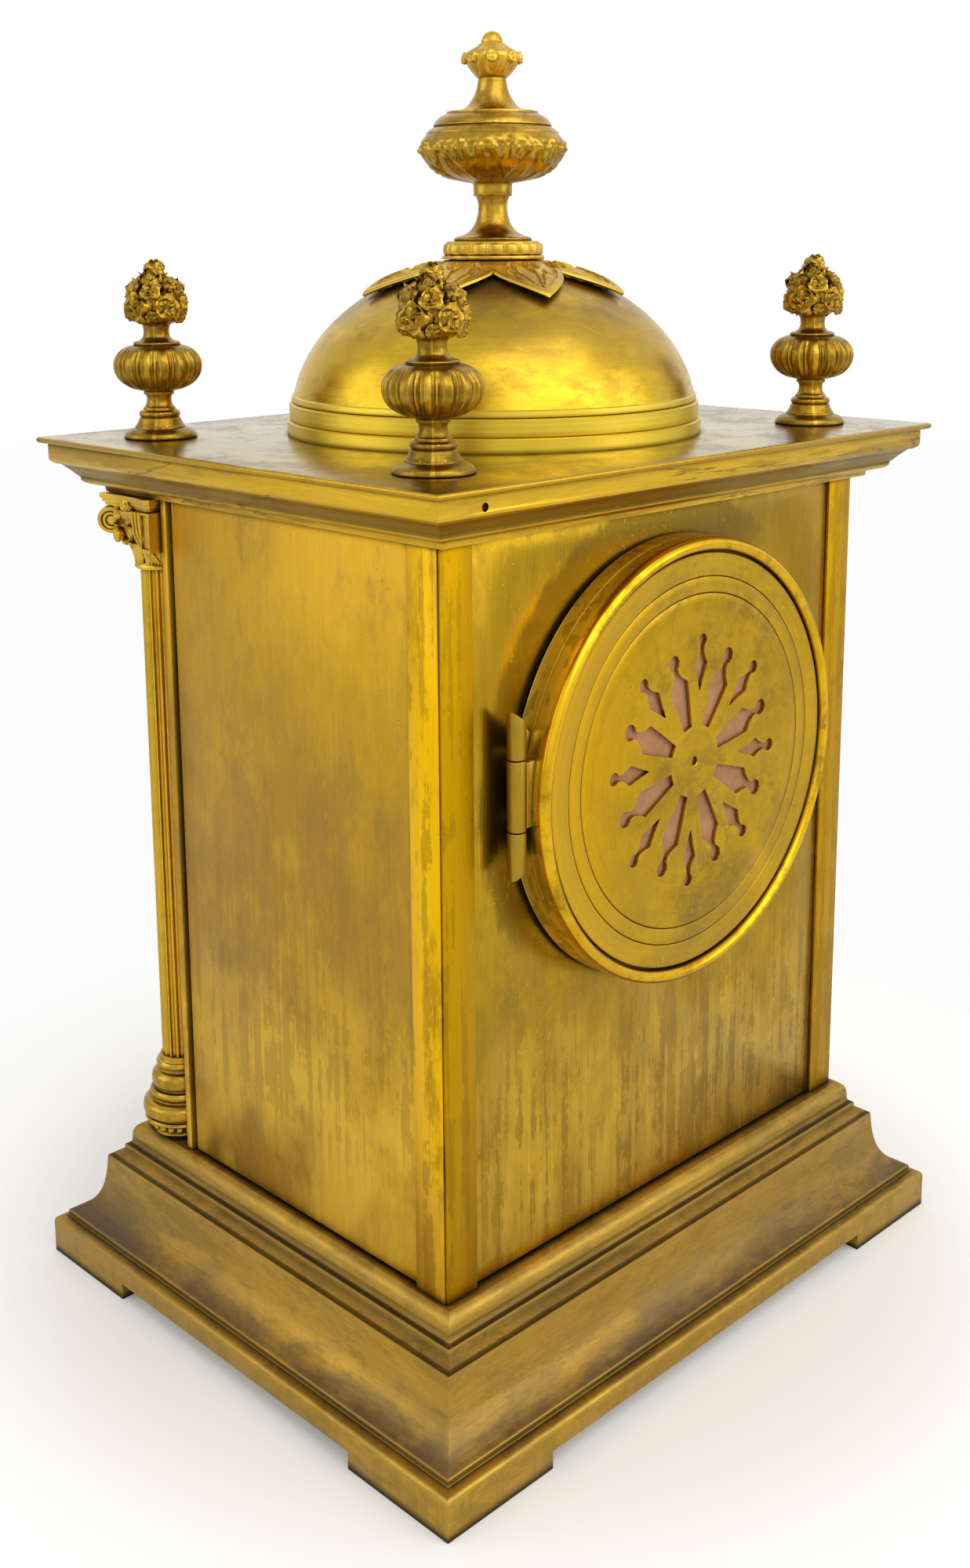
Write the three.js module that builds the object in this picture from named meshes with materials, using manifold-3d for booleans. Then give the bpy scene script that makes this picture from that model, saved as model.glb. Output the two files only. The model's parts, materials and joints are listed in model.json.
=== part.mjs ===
// Brass table clock with a domed top, four finials, two front columns and a round eight-day movement.
// Millimetres, +Z up. The dial faces -Y, the round door is at the back (+Y), the width runs along X.
// The origin is on the table, under the middle of the plinth.
import * as THREE from 'three';
import { mergeVertices } from 'three/addons/utils/BufferGeometryUtils.js';
import Module from 'manifold-3d';

const wasm = await Module();
wasm.setup();

// Driving dimensions shared by several pieces
const CLEARANCE = 0.3;
const OVERRUN = 1;
const DIAL_HEIGHT = 160.5;
const ROUND_SIDES = 32;
const SMALL_SIDES = 10;

const finishes = {
  gilt: new THREE.MeshStandardMaterial({ color: 0xc39e3a, roughness: 0.38, metalness: 1 }),
  olive: new THREE.MeshStandardMaterial({ color: 0xa98c33, roughness: 0.45, metalness: 1 }),
  cast: new THREE.MeshStandardMaterial({ color: 0xb08a2e, roughness: 0.5, metalness: 1 }),
  polished: new THREE.MeshStandardMaterial({ color: 0xd2a631, roughness: 0.22, metalness: 1 }),
  movement: new THREE.MeshStandardMaterial({ color: 0xcfab55, roughness: 0.35, metalness: 1 }),
  steel: new THREE.MeshStandardMaterial({ color: 0x8d9096, roughness: 0.3, metalness: 1 }),
  blued: new THREE.MeshStandardMaterial({ color: 0x1f2740, roughness: 0.3, metalness: 0.9 }),
  enamel: new THREE.MeshStandardMaterial({ color: 0xf1ece0, roughness: 0.15, metalness: 0 }),
  cloth: new THREE.MeshStandardMaterial({ color: 0xb27e58, roughness: 0.9, metalness: 0 }),
  glass: new THREE.MeshStandardMaterial({ color: 0xe8f0ee, roughness: 0.03, metalness: 0 }),
  bell: new THREE.MeshStandardMaterial({ color: 0x9aa0a4, roughness: 0.25, metalness: 1 }),
};

const clock = new THREE.Group();

// Shape helpers

/** Keeps only positions, joins shared vertices, drops flat faces and turns the faces out. */
function sealed(geometry) {
  const bare = geometry.clone();
  bare.deleteAttribute('normal');
  bare.deleteAttribute('uv');
  const joined = mergeVertices(bare);
  const old = joined.index.array;
  const spots = joined.attributes.position;
  const faces = [];
  let volume = 0;
  const corner = [new THREE.Vector3(), new THREE.Vector3(), new THREE.Vector3()];
  for (let i = 0; i < old.length; i += 3) {
    const [a, b, c] = [old[i], old[i + 1], old[i + 2]];
    if (a === b || b === c || a === c) continue;
    faces.push(a, b, c);
    corner.forEach((point, k) => point.fromBufferAttribute(spots, [a, b, c][k]));
    volume += corner[0].dot(corner[1].cross(corner[2]));
  }
  joined.setIndex(volume < 0 ? faces.reverse() : faces);
  return joined;
}

/** A closed surface as a solid that can be joined and cut. */
function solid(geometry) {
  const closed = sealed(geometry);
  return new wasm.Manifold(new wasm.Mesh({
    numProp: 3,
    vertProperties: new Float32Array(closed.attributes.position.array),
    triVerts: new Uint32Array(closed.index.array),
  }));
}

/** The surface of a solid. */
function surface(body) {
  const mesh = body.getMesh();
  const geometry = new THREE.BufferGeometry();
  geometry.setAttribute('position', new THREE.BufferAttribute(new Float32Array(mesh.vertProperties), 3));
  geometry.setIndex([...mesh.triVerts]);
  return geometry;
}

/** Joins several solids into one. */
const joined = (...bodies) => bodies.reduce((whole, body) => whole.add(body));

/** A box between two corners. */
function block(low, high) {
  const size = high.map((value, i) => value - low[i]);
  const geometry = new THREE.BoxGeometry(...size);
  geometry.translate(...low.map((value, i) => (value + high[i]) / 2));
  return solid(geometry);
}

/** A turned form. The outline is [radius, place along the axis]; the axis is Z, or Y on the dial's line. */
function turned(outline, { sides = ROUND_SIDES, axis = 'z', at = [0, 0, 0], lobes = 0, lobeShare = 0, from = 0, to = 0 } = {}) {
  const points = outline.map(([radius, place]) => new THREE.Vector2(radius, place));
  const geometry = new THREE.LatheGeometry(points, sides);
  if (lobes > 0) {
    const spots = geometry.attributes.position;
    for (let i = 0; i < spots.count; i += 1) {
      const inBand = spots.getY(i) > from && spots.getY(i) < to;
      const valley = Math.round((Math.atan2(spots.getX(i), spots.getZ(i)) / Math.PI) * lobes) % 2 !== 0;
      const share = inBand && valley ? 1 - lobeShare : 1;
      spots.setXYZ(i, spots.getX(i) * share, spots.getY(i), spots.getZ(i) * share);
    }
  }
  if (axis === 'z') geometry.rotateX(Math.PI / 2);
  geometry.translate(...at);
  return solid(geometry);
}

/** A ring around an axis, between two radii and two places along it. */
const ring = (inner, outer, start, end, options) => turned(
  [[inner, start], [outer, start], [outer, end], [inner, end], [inner, start]],
  options,
);

/** A plain rod around an axis. */
const rod = (radius, start, end, options) => turned(
  [[0, start], [radius, start], [radius, end], [0, end]],
  { sides: SMALL_SIDES, ...options },
);

/** A rod between any two points. */
function strut(radius, start, end) {
  const [a, b] = [new THREE.Vector3(...start), new THREE.Vector3(...end)];
  const geometry = new THREE.CylinderGeometry(radius, radius, a.distanceTo(b), SMALL_SIDES);
  const along = b.clone().sub(a).normalize();
  geometry.applyQuaternion(new THREE.Quaternion().setFromUnitVectors(new THREE.Vector3(0, 1, 0), along));
  geometry.translate(...a.add(b).divideScalar(2).toArray());
  return solid(geometry);
}

/** A flat outline in X and Z, given its thickness between two Y places. */
function upright(shape, front, back) {
  const geometry = new THREE.ExtrudeGeometry(shape, { depth: back - front, bevelEnabled: false });
  geometry.rotateX(Math.PI / 2);
  geometry.translate(0, back, 0);
  return solid(geometry);
}

/** Points of a circle. */
const circle = (x, z, radius, sides) => Array.from({ length: sides }, (_, i) => {
  const angle = (2 * Math.PI * i) / sides;
  return new THREE.Vector2(x + radius * Math.cos(angle), z + radius * Math.sin(angle));
});

/** A round outline with small round holes: [x, z, radius]. */
function roundShape(x, z, radius, holes = []) {
  const shape = new THREE.Shape(circle(x, z, radius, ROUND_SIDES));
  for (const [holeX, holeZ, holeRadius] of holes) {
    shape.holes.push(new THREE.Path(circle(holeX, holeZ, holeRadius, SMALL_SIDES)));
  }
  return shape;
}

/** A straight-sided outline through points. */
function pointShape(points) {
  return new THREE.Shape(points.map(([x, z]) => new THREE.Vector2(x, z)));
}

/** A moulding mitred around a rectangle. The closed outline is [inset from the rectangle, height]. */
function mitred(halfWidth, halfDepth, outline) {
  const cornerSigns = [[1, 1], [-1, 1], [-1, -1], [1, -1]];
  const spots = outline.flatMap(([inset, height]) => cornerSigns.flatMap(
    ([sx, sy]) => [sx * (halfWidth - inset), sy * (halfDepth - inset), height],
  ));
  const faces = [];
  const sides = cornerSigns.length;
  outline.forEach((_, row) => {
    const next = (row + 1) % outline.length;
    for (let k = 0; k < sides; k += 1) {
      const turn = (k + 1) % sides;
      const [a, b, c, d] = [row * sides + k, row * sides + turn, next * sides + turn, next * sides + k];
      faces.push(a, b, c, a, c, d);
    }
  });
  const geometry = new THREE.BufferGeometry();
  geometry.setAttribute('position', new THREE.BufferAttribute(new Float32Array(spots), 3));
  geometry.setIndex(faces);
  return solid(geometry);
}

/** Outline shares of a reach and a height, as lengths from a start height. */
const scaled = (shares, reach, height, start = 0) => shares.map(
  ([across, up]) => [across * reach, start + up * height],
);

/** Adds one named piece to the clock. */
function piece(name, body, finish) {
  const mesh = new THREE.Mesh(surface(body), finish);
  mesh.name = name;
  clock.add(mesh);
}

// Plinth: a moulded hollow base on four bracket feet
const plinth = {
  halfWidth: 100,
  halfDepth: 83.5,
  height: 40.5,
  reach: 19.2,
  wall: 6,
  roof: 4,
  footLength: 35,
  apronRise: 4.7,
};
const plinthShares = [
  [0, 0], [0, 0.235], [0.135, 0.277], [0.161, 0.319], [0.339, 0.365], [0.479, 0.42], [0.557, 0.489],
  [0.594, 0.617], [0.62, 0.751], [0.802, 0.812], [0.8125, 0.84], [0.87, 0.854], [0.885, 0.901],
  [0.917, 0.958], [1, 1],
];
{
  const roofTop = plinth.height;
  const roofUnder = plinth.height - plinth.roof;
  const innerX = plinth.halfWidth - plinth.reach - plinth.wall;
  const innerY = plinth.halfDepth - plinth.reach - plinth.wall;
  const frame = mitred(plinth.halfWidth, plinth.halfDepth, [
    ...scaled(plinthShares, plinth.reach, plinth.height),
    [plinth.reach + plinth.wall, roofTop],
    [plinth.reach + plinth.wall, roofUnder - plinth.wall],
    [plinth.wall, plinth.apronRise + plinth.wall],
    [plinth.wall, 0],
  ]);
  const roof = block(
    [-innerX - OVERRUN, -innerY - OVERRUN, roofUnder],
    [innerX + OVERRUN, innerY + OVERRUN, roofTop],
  );
  const gapX = plinth.halfWidth - plinth.footLength;
  const gapY = plinth.halfDepth - plinth.footLength;
  const sideGap = block(
    [-plinth.halfWidth - OVERRUN, -gapY, -OVERRUN],
    [plinth.halfWidth + OVERRUN, gapY, plinth.apronRise],
  );
  const frontGap = block(
    [-gapX, -plinth.halfDepth - OVERRUN, -OVERRUN],
    [gapX, plinth.halfDepth + OVERRUN, plinth.apronRise],
  );
  piece('plinth', joined(frame, roof).subtract(sideGap).subtract(frontGap), finishes.olive);
}

// Case walls: a front plate, two sides, a back and two angle strips down the rear corners
const walls = {
  plinthStep: 20.2,
  frontY: -43.4,
  backY: 62.3,
  dialToTop: 64.2,
  frontThick: 2.3,
  panelThick: 2.2,
  panelInset: 0.8,
  panelLift: 0.8,
  stripLeg: 10.5,
  stripThick: 3,
  frontOpening: 50.5,
  backOpening: 50.5,
};
walls.halfWidth = plinth.halfWidth - walls.plinthStep;
walls.top = DIAL_HEIGHT + walls.dialToTop;
const panelX = walls.halfWidth - walls.panelInset;
const panelY = walls.backY - walls.panelInset;
const panelBottom = plinth.height + walls.panelLift;
const panelTop = walls.top - CLEARANCE;
{
  const frontBack = walls.frontY + walls.frontThick;
  const front = block([-walls.halfWidth, walls.frontY, plinth.height], [walls.halfWidth, frontBack, walls.top]);
  const frontHole = rod(walls.frontOpening, walls.frontY - OVERRUN, frontBack + OVERRUN, {
    axis: 'y', at: [0, 0, DIAL_HEIGHT], sides: ROUND_SIDES,
  });
  piece('front_plate', front.subtract(frontHole), finishes.gilt);

  const legStart = walls.backY - walls.stripLeg;
  for (const [side, sign] of [['left', -1], ['right', 1]]) {
    const span = (near, far) => [Math.min(sign * near, sign * far), Math.max(sign * near, sign * far)];
    const [panelLow, panelHigh] = span(panelX - walls.panelThick, panelX);
    piece(`side_panel_${side}`, block(
      [panelLow, frontBack + CLEARANCE, panelBottom],
      [panelHigh, legStart - CLEARANCE, panelTop],
    ), finishes.gilt);
    const [wallLow, wallHigh] = span(walls.halfWidth - walls.stripThick, walls.halfWidth);
    const [legLow, legHigh] = span(walls.halfWidth - walls.stripLeg, walls.halfWidth);
    piece(`rear_corner_strip_${side}`, joined(
      block([wallLow, legStart, plinth.height], [wallHigh, walls.backY, walls.top]),
      block([legLow, walls.backY - walls.stripThick, plinth.height], [legHigh, walls.backY, walls.top]),
    ), finishes.gilt);
  }

  const backX = walls.halfWidth - walls.stripLeg - CLEARANCE;
  const back = block([-backX, panelY - walls.panelThick, panelBottom], [backX, panelY, panelTop]);
  const backHole = rod(walls.backOpening, panelY - walls.panelThick - OVERRUN, panelY + OVERRUN, {
    axis: 'y', at: [0, 0, DIAL_HEIGHT], sides: ROUND_SIDES,
  });
  piece('back_panel', back.subtract(backHole), finishes.olive);
}

// Cornice and top plate
const cornice = {
  overhang: 12.5,
  halfDepth: 76.1,
  height: 13,
  reach: 10.6,
  wall: 3.6,
  soffit: 3,
  soffitLedge: 9.8,
  soffitHoleFront: 38,
  soffitHoleBack: 56,
};
const corniceShares = [
  [1, 0], [0.98, 0.138], [0.79, 0.16], [0.557, 0.23], [0.538, 0.277], [0.387, 0.438], [0.217, 0.577],
  [0, 0.66], [0, 1],
];
const topPlate = { overhang: 2.2, halfDepth: 78.3, thick: 1.6, boltHole: 2.3 };
cornice.halfWidth = walls.halfWidth + cornice.overhang;
cornice.soffitHoleX = walls.halfWidth - cornice.soffitLedge;
topPlate.halfWidth = cornice.halfWidth + topPlate.overhang;
const corniceTop = walls.top + cornice.height;
const deck = corniceTop + topPlate.thick;
const cornerFinial = {
  height: 48.5,
  radius: 11.6,
  sideInset: 22.5,
  placeY: 53,
  stud: 1.8,
  studHole: 2.1,
  studLength: 7,
  lobes: 9,
  lobeShare: 0.09,
  lobeFromShare: 0.28,
  lobeToShare: 0.5,
};
cornerFinial.placeX = topPlate.halfWidth - cornerFinial.sideInset;
const finialPlaces = [
  ['front_left', -1, -1], ['front_right', 1, -1], ['rear_left', -1, 1], ['rear_right', 1, 1],
];
{
  const innerReach = cornice.reach + cornice.wall;
  const frame = mitred(cornice.halfWidth, cornice.halfDepth, [
    ...scaled(corniceShares, cornice.reach, cornice.height, walls.top),
    [innerReach, corniceTop],
    [innerReach, walls.top],
  ]);
  const soffit = block(
    [-cornice.halfWidth + innerReach - OVERRUN, -cornice.halfDepth + innerReach - OVERRUN, walls.top],
    [cornice.halfWidth - innerReach + OVERRUN, cornice.halfDepth - innerReach + OVERRUN, walls.top + cornice.soffit],
  );
  const hole = block(
    [-cornice.soffitHoleX, -cornice.soffitHoleFront, walls.top - OVERRUN],
    [cornice.soffitHoleX, cornice.soffitHoleBack, walls.top + cornice.soffit + OVERRUN],
  );
  piece('cornice', joined(frame, soffit.subtract(hole)), finishes.gilt);

  let plate = block(
    [-topPlate.halfWidth, -topPlate.halfDepth, corniceTop],
    [topPlate.halfWidth, topPlate.halfDepth, deck],
  );
  const drill = (x, y, radius) => rod(radius, corniceTop - OVERRUN, deck + OVERRUN, { at: [x, y, 0] });
  plate = plate.subtract(drill(0, 0, topPlate.boltHole));
  for (const [, sx, sy] of finialPlaces) {
    plate = plate.subtract(drill(sx * cornerFinial.placeX, sy * cornerFinial.placeY, cornerFinial.studHole));
  }
  piece('top_plate', plate, finishes.olive);
}

// Front columns: base, fluted shaft and capital
const column = {
  sideInset: 7.2,
  placeY: -55.2,
  baseRadius: 11,
  baseHeight: 23,
  shaftRadius: 5.2,
  flutes: 16,
  fluteShare: 0.11,
  capitalHeight: 20.4,
  capitalTopGap: 0.3,
  abacusHalf: 11.3,
  abacusHeight: 4,
  bellRadius: 9.6,
  voluteRadius: 3.2,
  voluteHalfThick: 1.6,
};
column.placeX = walls.halfWidth - column.sideInset;
const columnBaseShares = [
  [0, 0], [0.745, 0], [0.745, 0.06], [0.9, 0.08], [0.9, 0.18], [0.96, 0.2], [1, 0.33], [0.93, 0.43],
  [0.77, 0.46], [0.8, 0.52], [0.71, 0.57], [0.765, 0.68], [0.6, 0.79], [0.64, 0.9], [0.54, 1], [0, 1],
];
const abacusSteps = [[1, 0.7, 1], [0.93, 0.35, 0.72], [0.86, 0, 0.37]];
const capitalBellShares = [
  [0, 0], [0.6, 0], [0.68, 0.06], [0.6, 0.13], [0.62, 0.3], [0.76, 0.6], [1, 0.86], [0.9, 1], [0, 1],
];
{
  const shaftBottom = plinth.height + column.baseHeight;
  const capitalTop = walls.top - column.capitalTopGap;
  const shaftTop = capitalTop - column.capitalHeight;
  const bellHeight = column.capitalHeight - column.abacusHeight;
  for (const [side, sign] of [['left', -1], ['right', 1]]) {
    const x = sign * column.placeX;
    const y = column.placeY;
    piece(`column_base_${side}`, turned(
      scaled(columnBaseShares, column.baseRadius, column.baseHeight, plinth.height),
      { sides: 16, at: [x, y, 0] },
    ), finishes.cast);

    const shaft = turned(
      [[0, shaftBottom], [column.shaftRadius, shaftBottom], [column.shaftRadius, shaftTop], [0, shaftTop]],
      {
        sides: 2 * column.flutes, at: [x, y, 0], lobes: column.flutes, lobeShare: column.fluteShare,
        from: 0, to: walls.top,
      },
    );
    piece(`column_shaft_${side}`, shaft, finishes.gilt);

    const abacus = abacusSteps.map(([widthShare, lowShare, highShare]) => {
      const half = column.abacusHalf * widthShare;
      const low = capitalTop - column.abacusHeight;
      return block(
        [x - half, y - half, low + column.abacusHeight * lowShare],
        [x + half, y + half, low + column.abacusHeight * highShare],
      );
    });
    const bell = turned(scaled(capitalBellShares, column.bellRadius, bellHeight + CLEARANCE, shaftTop), {
      sides: 16, at: [x, y, 0],
    });
    const voluteReach = column.abacusHalf - column.voluteHalfThick;
    const voluteHeight = capitalTop - column.abacusHeight - column.voluteRadius + CLEARANCE;
    const volutes = [[1, -1], [-1, -1], [1, 1], [-1, 1]].map(([sx, sy]) => strut(
      column.voluteRadius,
      [x + sx * (voluteReach - 2 * column.voluteHalfThick), y + sy * (voluteReach - column.voluteRadius), voluteHeight],
      [x + sx * voluteReach, y + sy * (voluteReach - column.voluteRadius), voluteHeight],
    ));
    piece(`column_capital_${side}`, joined(...abacus, bell, ...volutes), finishes.cast);
  }
}

// Corner finials: a turned foot, a lobed urn and a bunch of flowers, on a threaded stud
const cornerFinialShares = [
  [0.81, 0], [0.81, 0.022], [0.56, 0.06], [0.46, 0.1], [0.43, 0.15], [0.28, 0.2], [0.33, 0.255], [0.62, 0.275],
  [0.93, 0.33], [1, 0.39], [0.9, 0.455], [0.54, 0.505], [0.29, 0.56], [0.42, 0.62], [0.76, 0.66],
  [0.73, 0.76], [0.22, 0.88], [0.18, 0.98], [0, 1],
];
{
  const { height, radius, stud, studLength } = cornerFinial;
  const outline = [
    [0, -studLength], [stud, -studLength], [stud, 0],
    ...scaled(cornerFinialShares, radius, height),
  ];
  for (const [place, sx, sy] of finialPlaces) {
    piece(`corner_finial_${place}`, turned(outline, {
      sides: 2 * cornerFinial.lobes,
      at: [sx * cornerFinial.placeX, sy * cornerFinial.placeY, deck],
      lobes: cornerFinial.lobes,
      lobeShare: cornerFinial.lobeShare,
      from: height * cornerFinial.lobeFromShare,
      to: height * cornerFinial.lobeToShare,
    }), finishes.cast);
  }
}

// Dome: a spun shell with three bands, its leaf collar and the tall finial on a tie bolt
const dome = {
  bandRadius: 55.9,
  bandHeight: 10.5,
  halfWidth: 54.7,
  halfHeight: 41.7,
  centreRise: 3.7,
  wall: 1.6,
  steps: 7,
  innerSteps: 4,
  boltHole: 2.3,
};
const domeBandShares = [[1, 0], [1, 0.37], [0.989, 0.39], [0.989, 0.8], [0.98, 0.82], [0.98, 0.98]];
const collar = { gap: 0.35, thick: 1.2, tipRadius: 37, notchRadius: 24.8, leaves: 8, innerRadius: 3, steps: 4 };
const domeCentre = deck + dome.centreRise;
/** Points of the dome's curve, moved out by an offset, between two radii. */
function domeCurve(offset, startRadius, endRadius, steps = dome.steps) {
  const [a, b] = [dome.halfWidth + offset, dome.halfHeight + offset];
  const startAngle = Math.acos(startRadius / a);
  const endAngle = Math.acos(endRadius / a);
  return Array.from({ length: steps + 1 }, (_, i) => {
    const angle = startAngle + ((endAngle - startAngle) * i) / steps;
    return [a * Math.cos(angle), domeCentre + b * Math.sin(angle)];
  });
}
{
  const bandTop = deck + dome.bandHeight;
  const edge = dome.halfWidth * Math.sqrt(1 - ((bandTop - domeCentre) / dome.halfHeight) ** 2);
  const outer = domeCurve(0, edge, dome.boltHole);
  const inner = domeCurve(-dome.wall, edge - dome.wall, dome.boltHole, dome.innerSteps).reverse();
  piece('dome', turned([
    ...scaled(domeBandShares, dome.bandRadius, dome.bandHeight, deck),
    ...outer,
    ...inner,
    [edge - dome.wall, deck],
    [dome.bandRadius, deck],
  ]), finishes.polished);

  const edgeRadius = collar.tipRadius + OVERRUN;
  const leafTop = domeCurve(collar.gap + collar.thick, edgeRadius, collar.innerRadius, collar.steps);
  const leafUnder = domeCurve(collar.gap, edgeRadius, collar.innerRadius, collar.steps);
  const shell = turned([...leafTop, ...leafUnder.reverse(), leafTop[0]]);
  const star = new THREE.Shape(Array.from({ length: 2 * collar.leaves }, (_, i) => {
    const angle = (Math.PI * i) / collar.leaves;
    const reach = i % 2 === 0 ? collar.notchRadius : collar.tipRadius;
    return new THREE.Vector2(reach * Math.cos(angle), reach * Math.sin(angle));
  }));
  const cutter = new THREE.ExtrudeGeometry(star, { depth: dome.halfHeight + dome.bandHeight, bevelEnabled: false });
  cutter.translate(0, 0, deck);
  piece('dome_leaf_collar', shell.intersect(solid(cutter)), finishes.cast);
}
const tallFinial = {
  ringRadius: 13.7,
  ringHeight: 4.7,
  ringLobes: 12,
  ringLobeShare: 0.06,
  urnRadius: 19.2,
  urnHeight: 42,
  budRadius: 8.2,
  budHeight: 11.7,
  bolt: 2,
  boltHole: 2.3,
  boltInBud: 4,
  boltHeadRadius: 5,
  boltHead: 3,
};
const tallRingShares = [[1, 0], [1, 0.25], [0.95, 0.28], [0.99, 0.42], [0.99, 0.72], [0.93, 0.95], [0.88, 1]];
const urnShares = [
  [0.53, 0], [0.52, 0.02], [0.33, 0.058], [0.22, 0.125], [0.19, 0.24], [0.26, 0.285], [0.262, 0.35],
  [0.45, 0.372], [0.72, 0.415], [0.92, 0.49], [1, 0.565], [0.975, 0.63], [0.8, 0.705], [0.75, 0.75],
  [0.61, 0.8], [0.385, 0.815], [0.25, 0.89], [0.175, 1],
];
const budShares = [
  [0.54, 0], [0.72, 0.13], [1, 0.4], [0.9, 0.54], [0.5, 0.68], [0.32, 0.78], [0.28, 0.9], [0.13, 0.98], [0, 1],
];
const collarTop = domeCurve(collar.gap + collar.thick, tallFinial.ringRadius, collar.innerRadius)[0][1];
const ringBottom = collarTop + CLEARANCE;
{
  const bore = tallFinial.boltHole;
  const domeTop = domeCurve(collar.gap + collar.thick, collar.innerRadius, dome.boltHole, 1)[0][1];
  const ringUnder = Math.max(domeTop, ringBottom) + CLEARANCE;
  const ringTop = ringBottom + tallFinial.ringHeight;
  const ringOutline = scaled(tallRingShares, tallFinial.ringRadius, tallFinial.ringHeight, ringBottom);
  const seatRadius = tallFinial.ringRadius / 2;
  piece('finial_base_ring', turned([
    ...ringOutline, [bore, ringTop], [bore, ringUnder + CLEARANCE], [seatRadius, ringUnder + CLEARANCE],
    ringOutline[0],
  ], {
    sides: 2 * tallFinial.ringLobes,
    lobes: tallFinial.ringLobes,
    lobeShare: tallFinial.ringLobeShare,
    from: ringBottom + tallFinial.ringHeight * 0.3,
    to: ringTop - CLEARANCE,
  }), finishes.cast);

  const urnTop = ringTop + tallFinial.urnHeight;
  const urn = scaled(urnShares, tallFinial.urnRadius, tallFinial.urnHeight, ringTop);
  piece('finial_urn', turned([...urn, [bore, urnTop], [bore, ringTop], urn[0]], { sides: 20 }), finishes.cast);

  const socketTop = urnTop + tallFinial.boltInBud + CLEARANCE;
  piece('finial_bud', turned([
    [0, socketTop], [bore, socketTop], [bore, urnTop],
    ...scaled(budShares, tallFinial.budRadius, tallFinial.budHeight, urnTop),
  ], { sides: 14 }), finishes.cast);

  const headTop = corniceTop - CLEARANCE;
  piece('dome_tie_bolt', joined(
    rod(tallFinial.boltHeadRadius, headTop - tallFinial.boltHead, headTop, { sides: 6 }),
    rod(tallFinial.bolt, headTop - tallFinial.boltHead, urnTop + tallFinial.boltInBud),
  ), finishes.steel);
}

// Rear door: a fixed ring on the back panel, a hinged rim, a pierced disc and its cloth
const rearRing = { inner: 43, wallInner: 53, outer: 56.2, flange: 2.4, depth: 5 };
const door = {
  radius: 57.3,
  inner: 50,
  gap: 0.3,
  depth: 6.4,
  discRadius: 54,
  discInset: 1.9,
  discThick: 1.2,
  clothRadius: 40,
  clothThick: 0.7,
  beadWidth: 3.3,
  holeRadius: 1.1,
};
const doorHinge = {
  offset: 3,
  radius: 2.3,
  pin: 1,
  bore: 1.3,
  drop: 16.7,
  lowJoint: 4.5,
  highJoint: 12.8,
  rise: 24.8,
};
doorHinge.bottom = DIAL_HEIGHT - doorHinge.drop;
doorHinge.top = DIAL_HEIGHT + doorHinge.rise;
const rayShares = {
  longBlade: [[0.17, 0.028], [0.4, 0.068], [0.455, 0.018], [0.49, 0.018]],
  shortBlade: [[0.335, 0.004], [0.465, 0.048], [0.53, 0.014], [0.55, 0.014]],
  longHead: [0.524, 0.038],
  shortHead: [0.576, 0.032],
};
const rays = { count: 8, longTurn: 26.5, shortTurn: 4, headSides: 5 };
/** Two or more knuckles in a line, joined by one leaf each, with the pin's bore cut. */
function knuckles(hinge, axisX, axisY, spans, leafEnd, leafLow, leafHigh, sides = 12) {
  return spans.map(([low, high]) => joined(
    ring(hinge.bore, hinge.radius, low, high, { sides, at: [axisX, axisY, 0] }),
    block([leafEnd, leafLow, low], [axisX - hinge.bore - CLEARANCE, leafHigh, high]),
  ));
}
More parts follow.
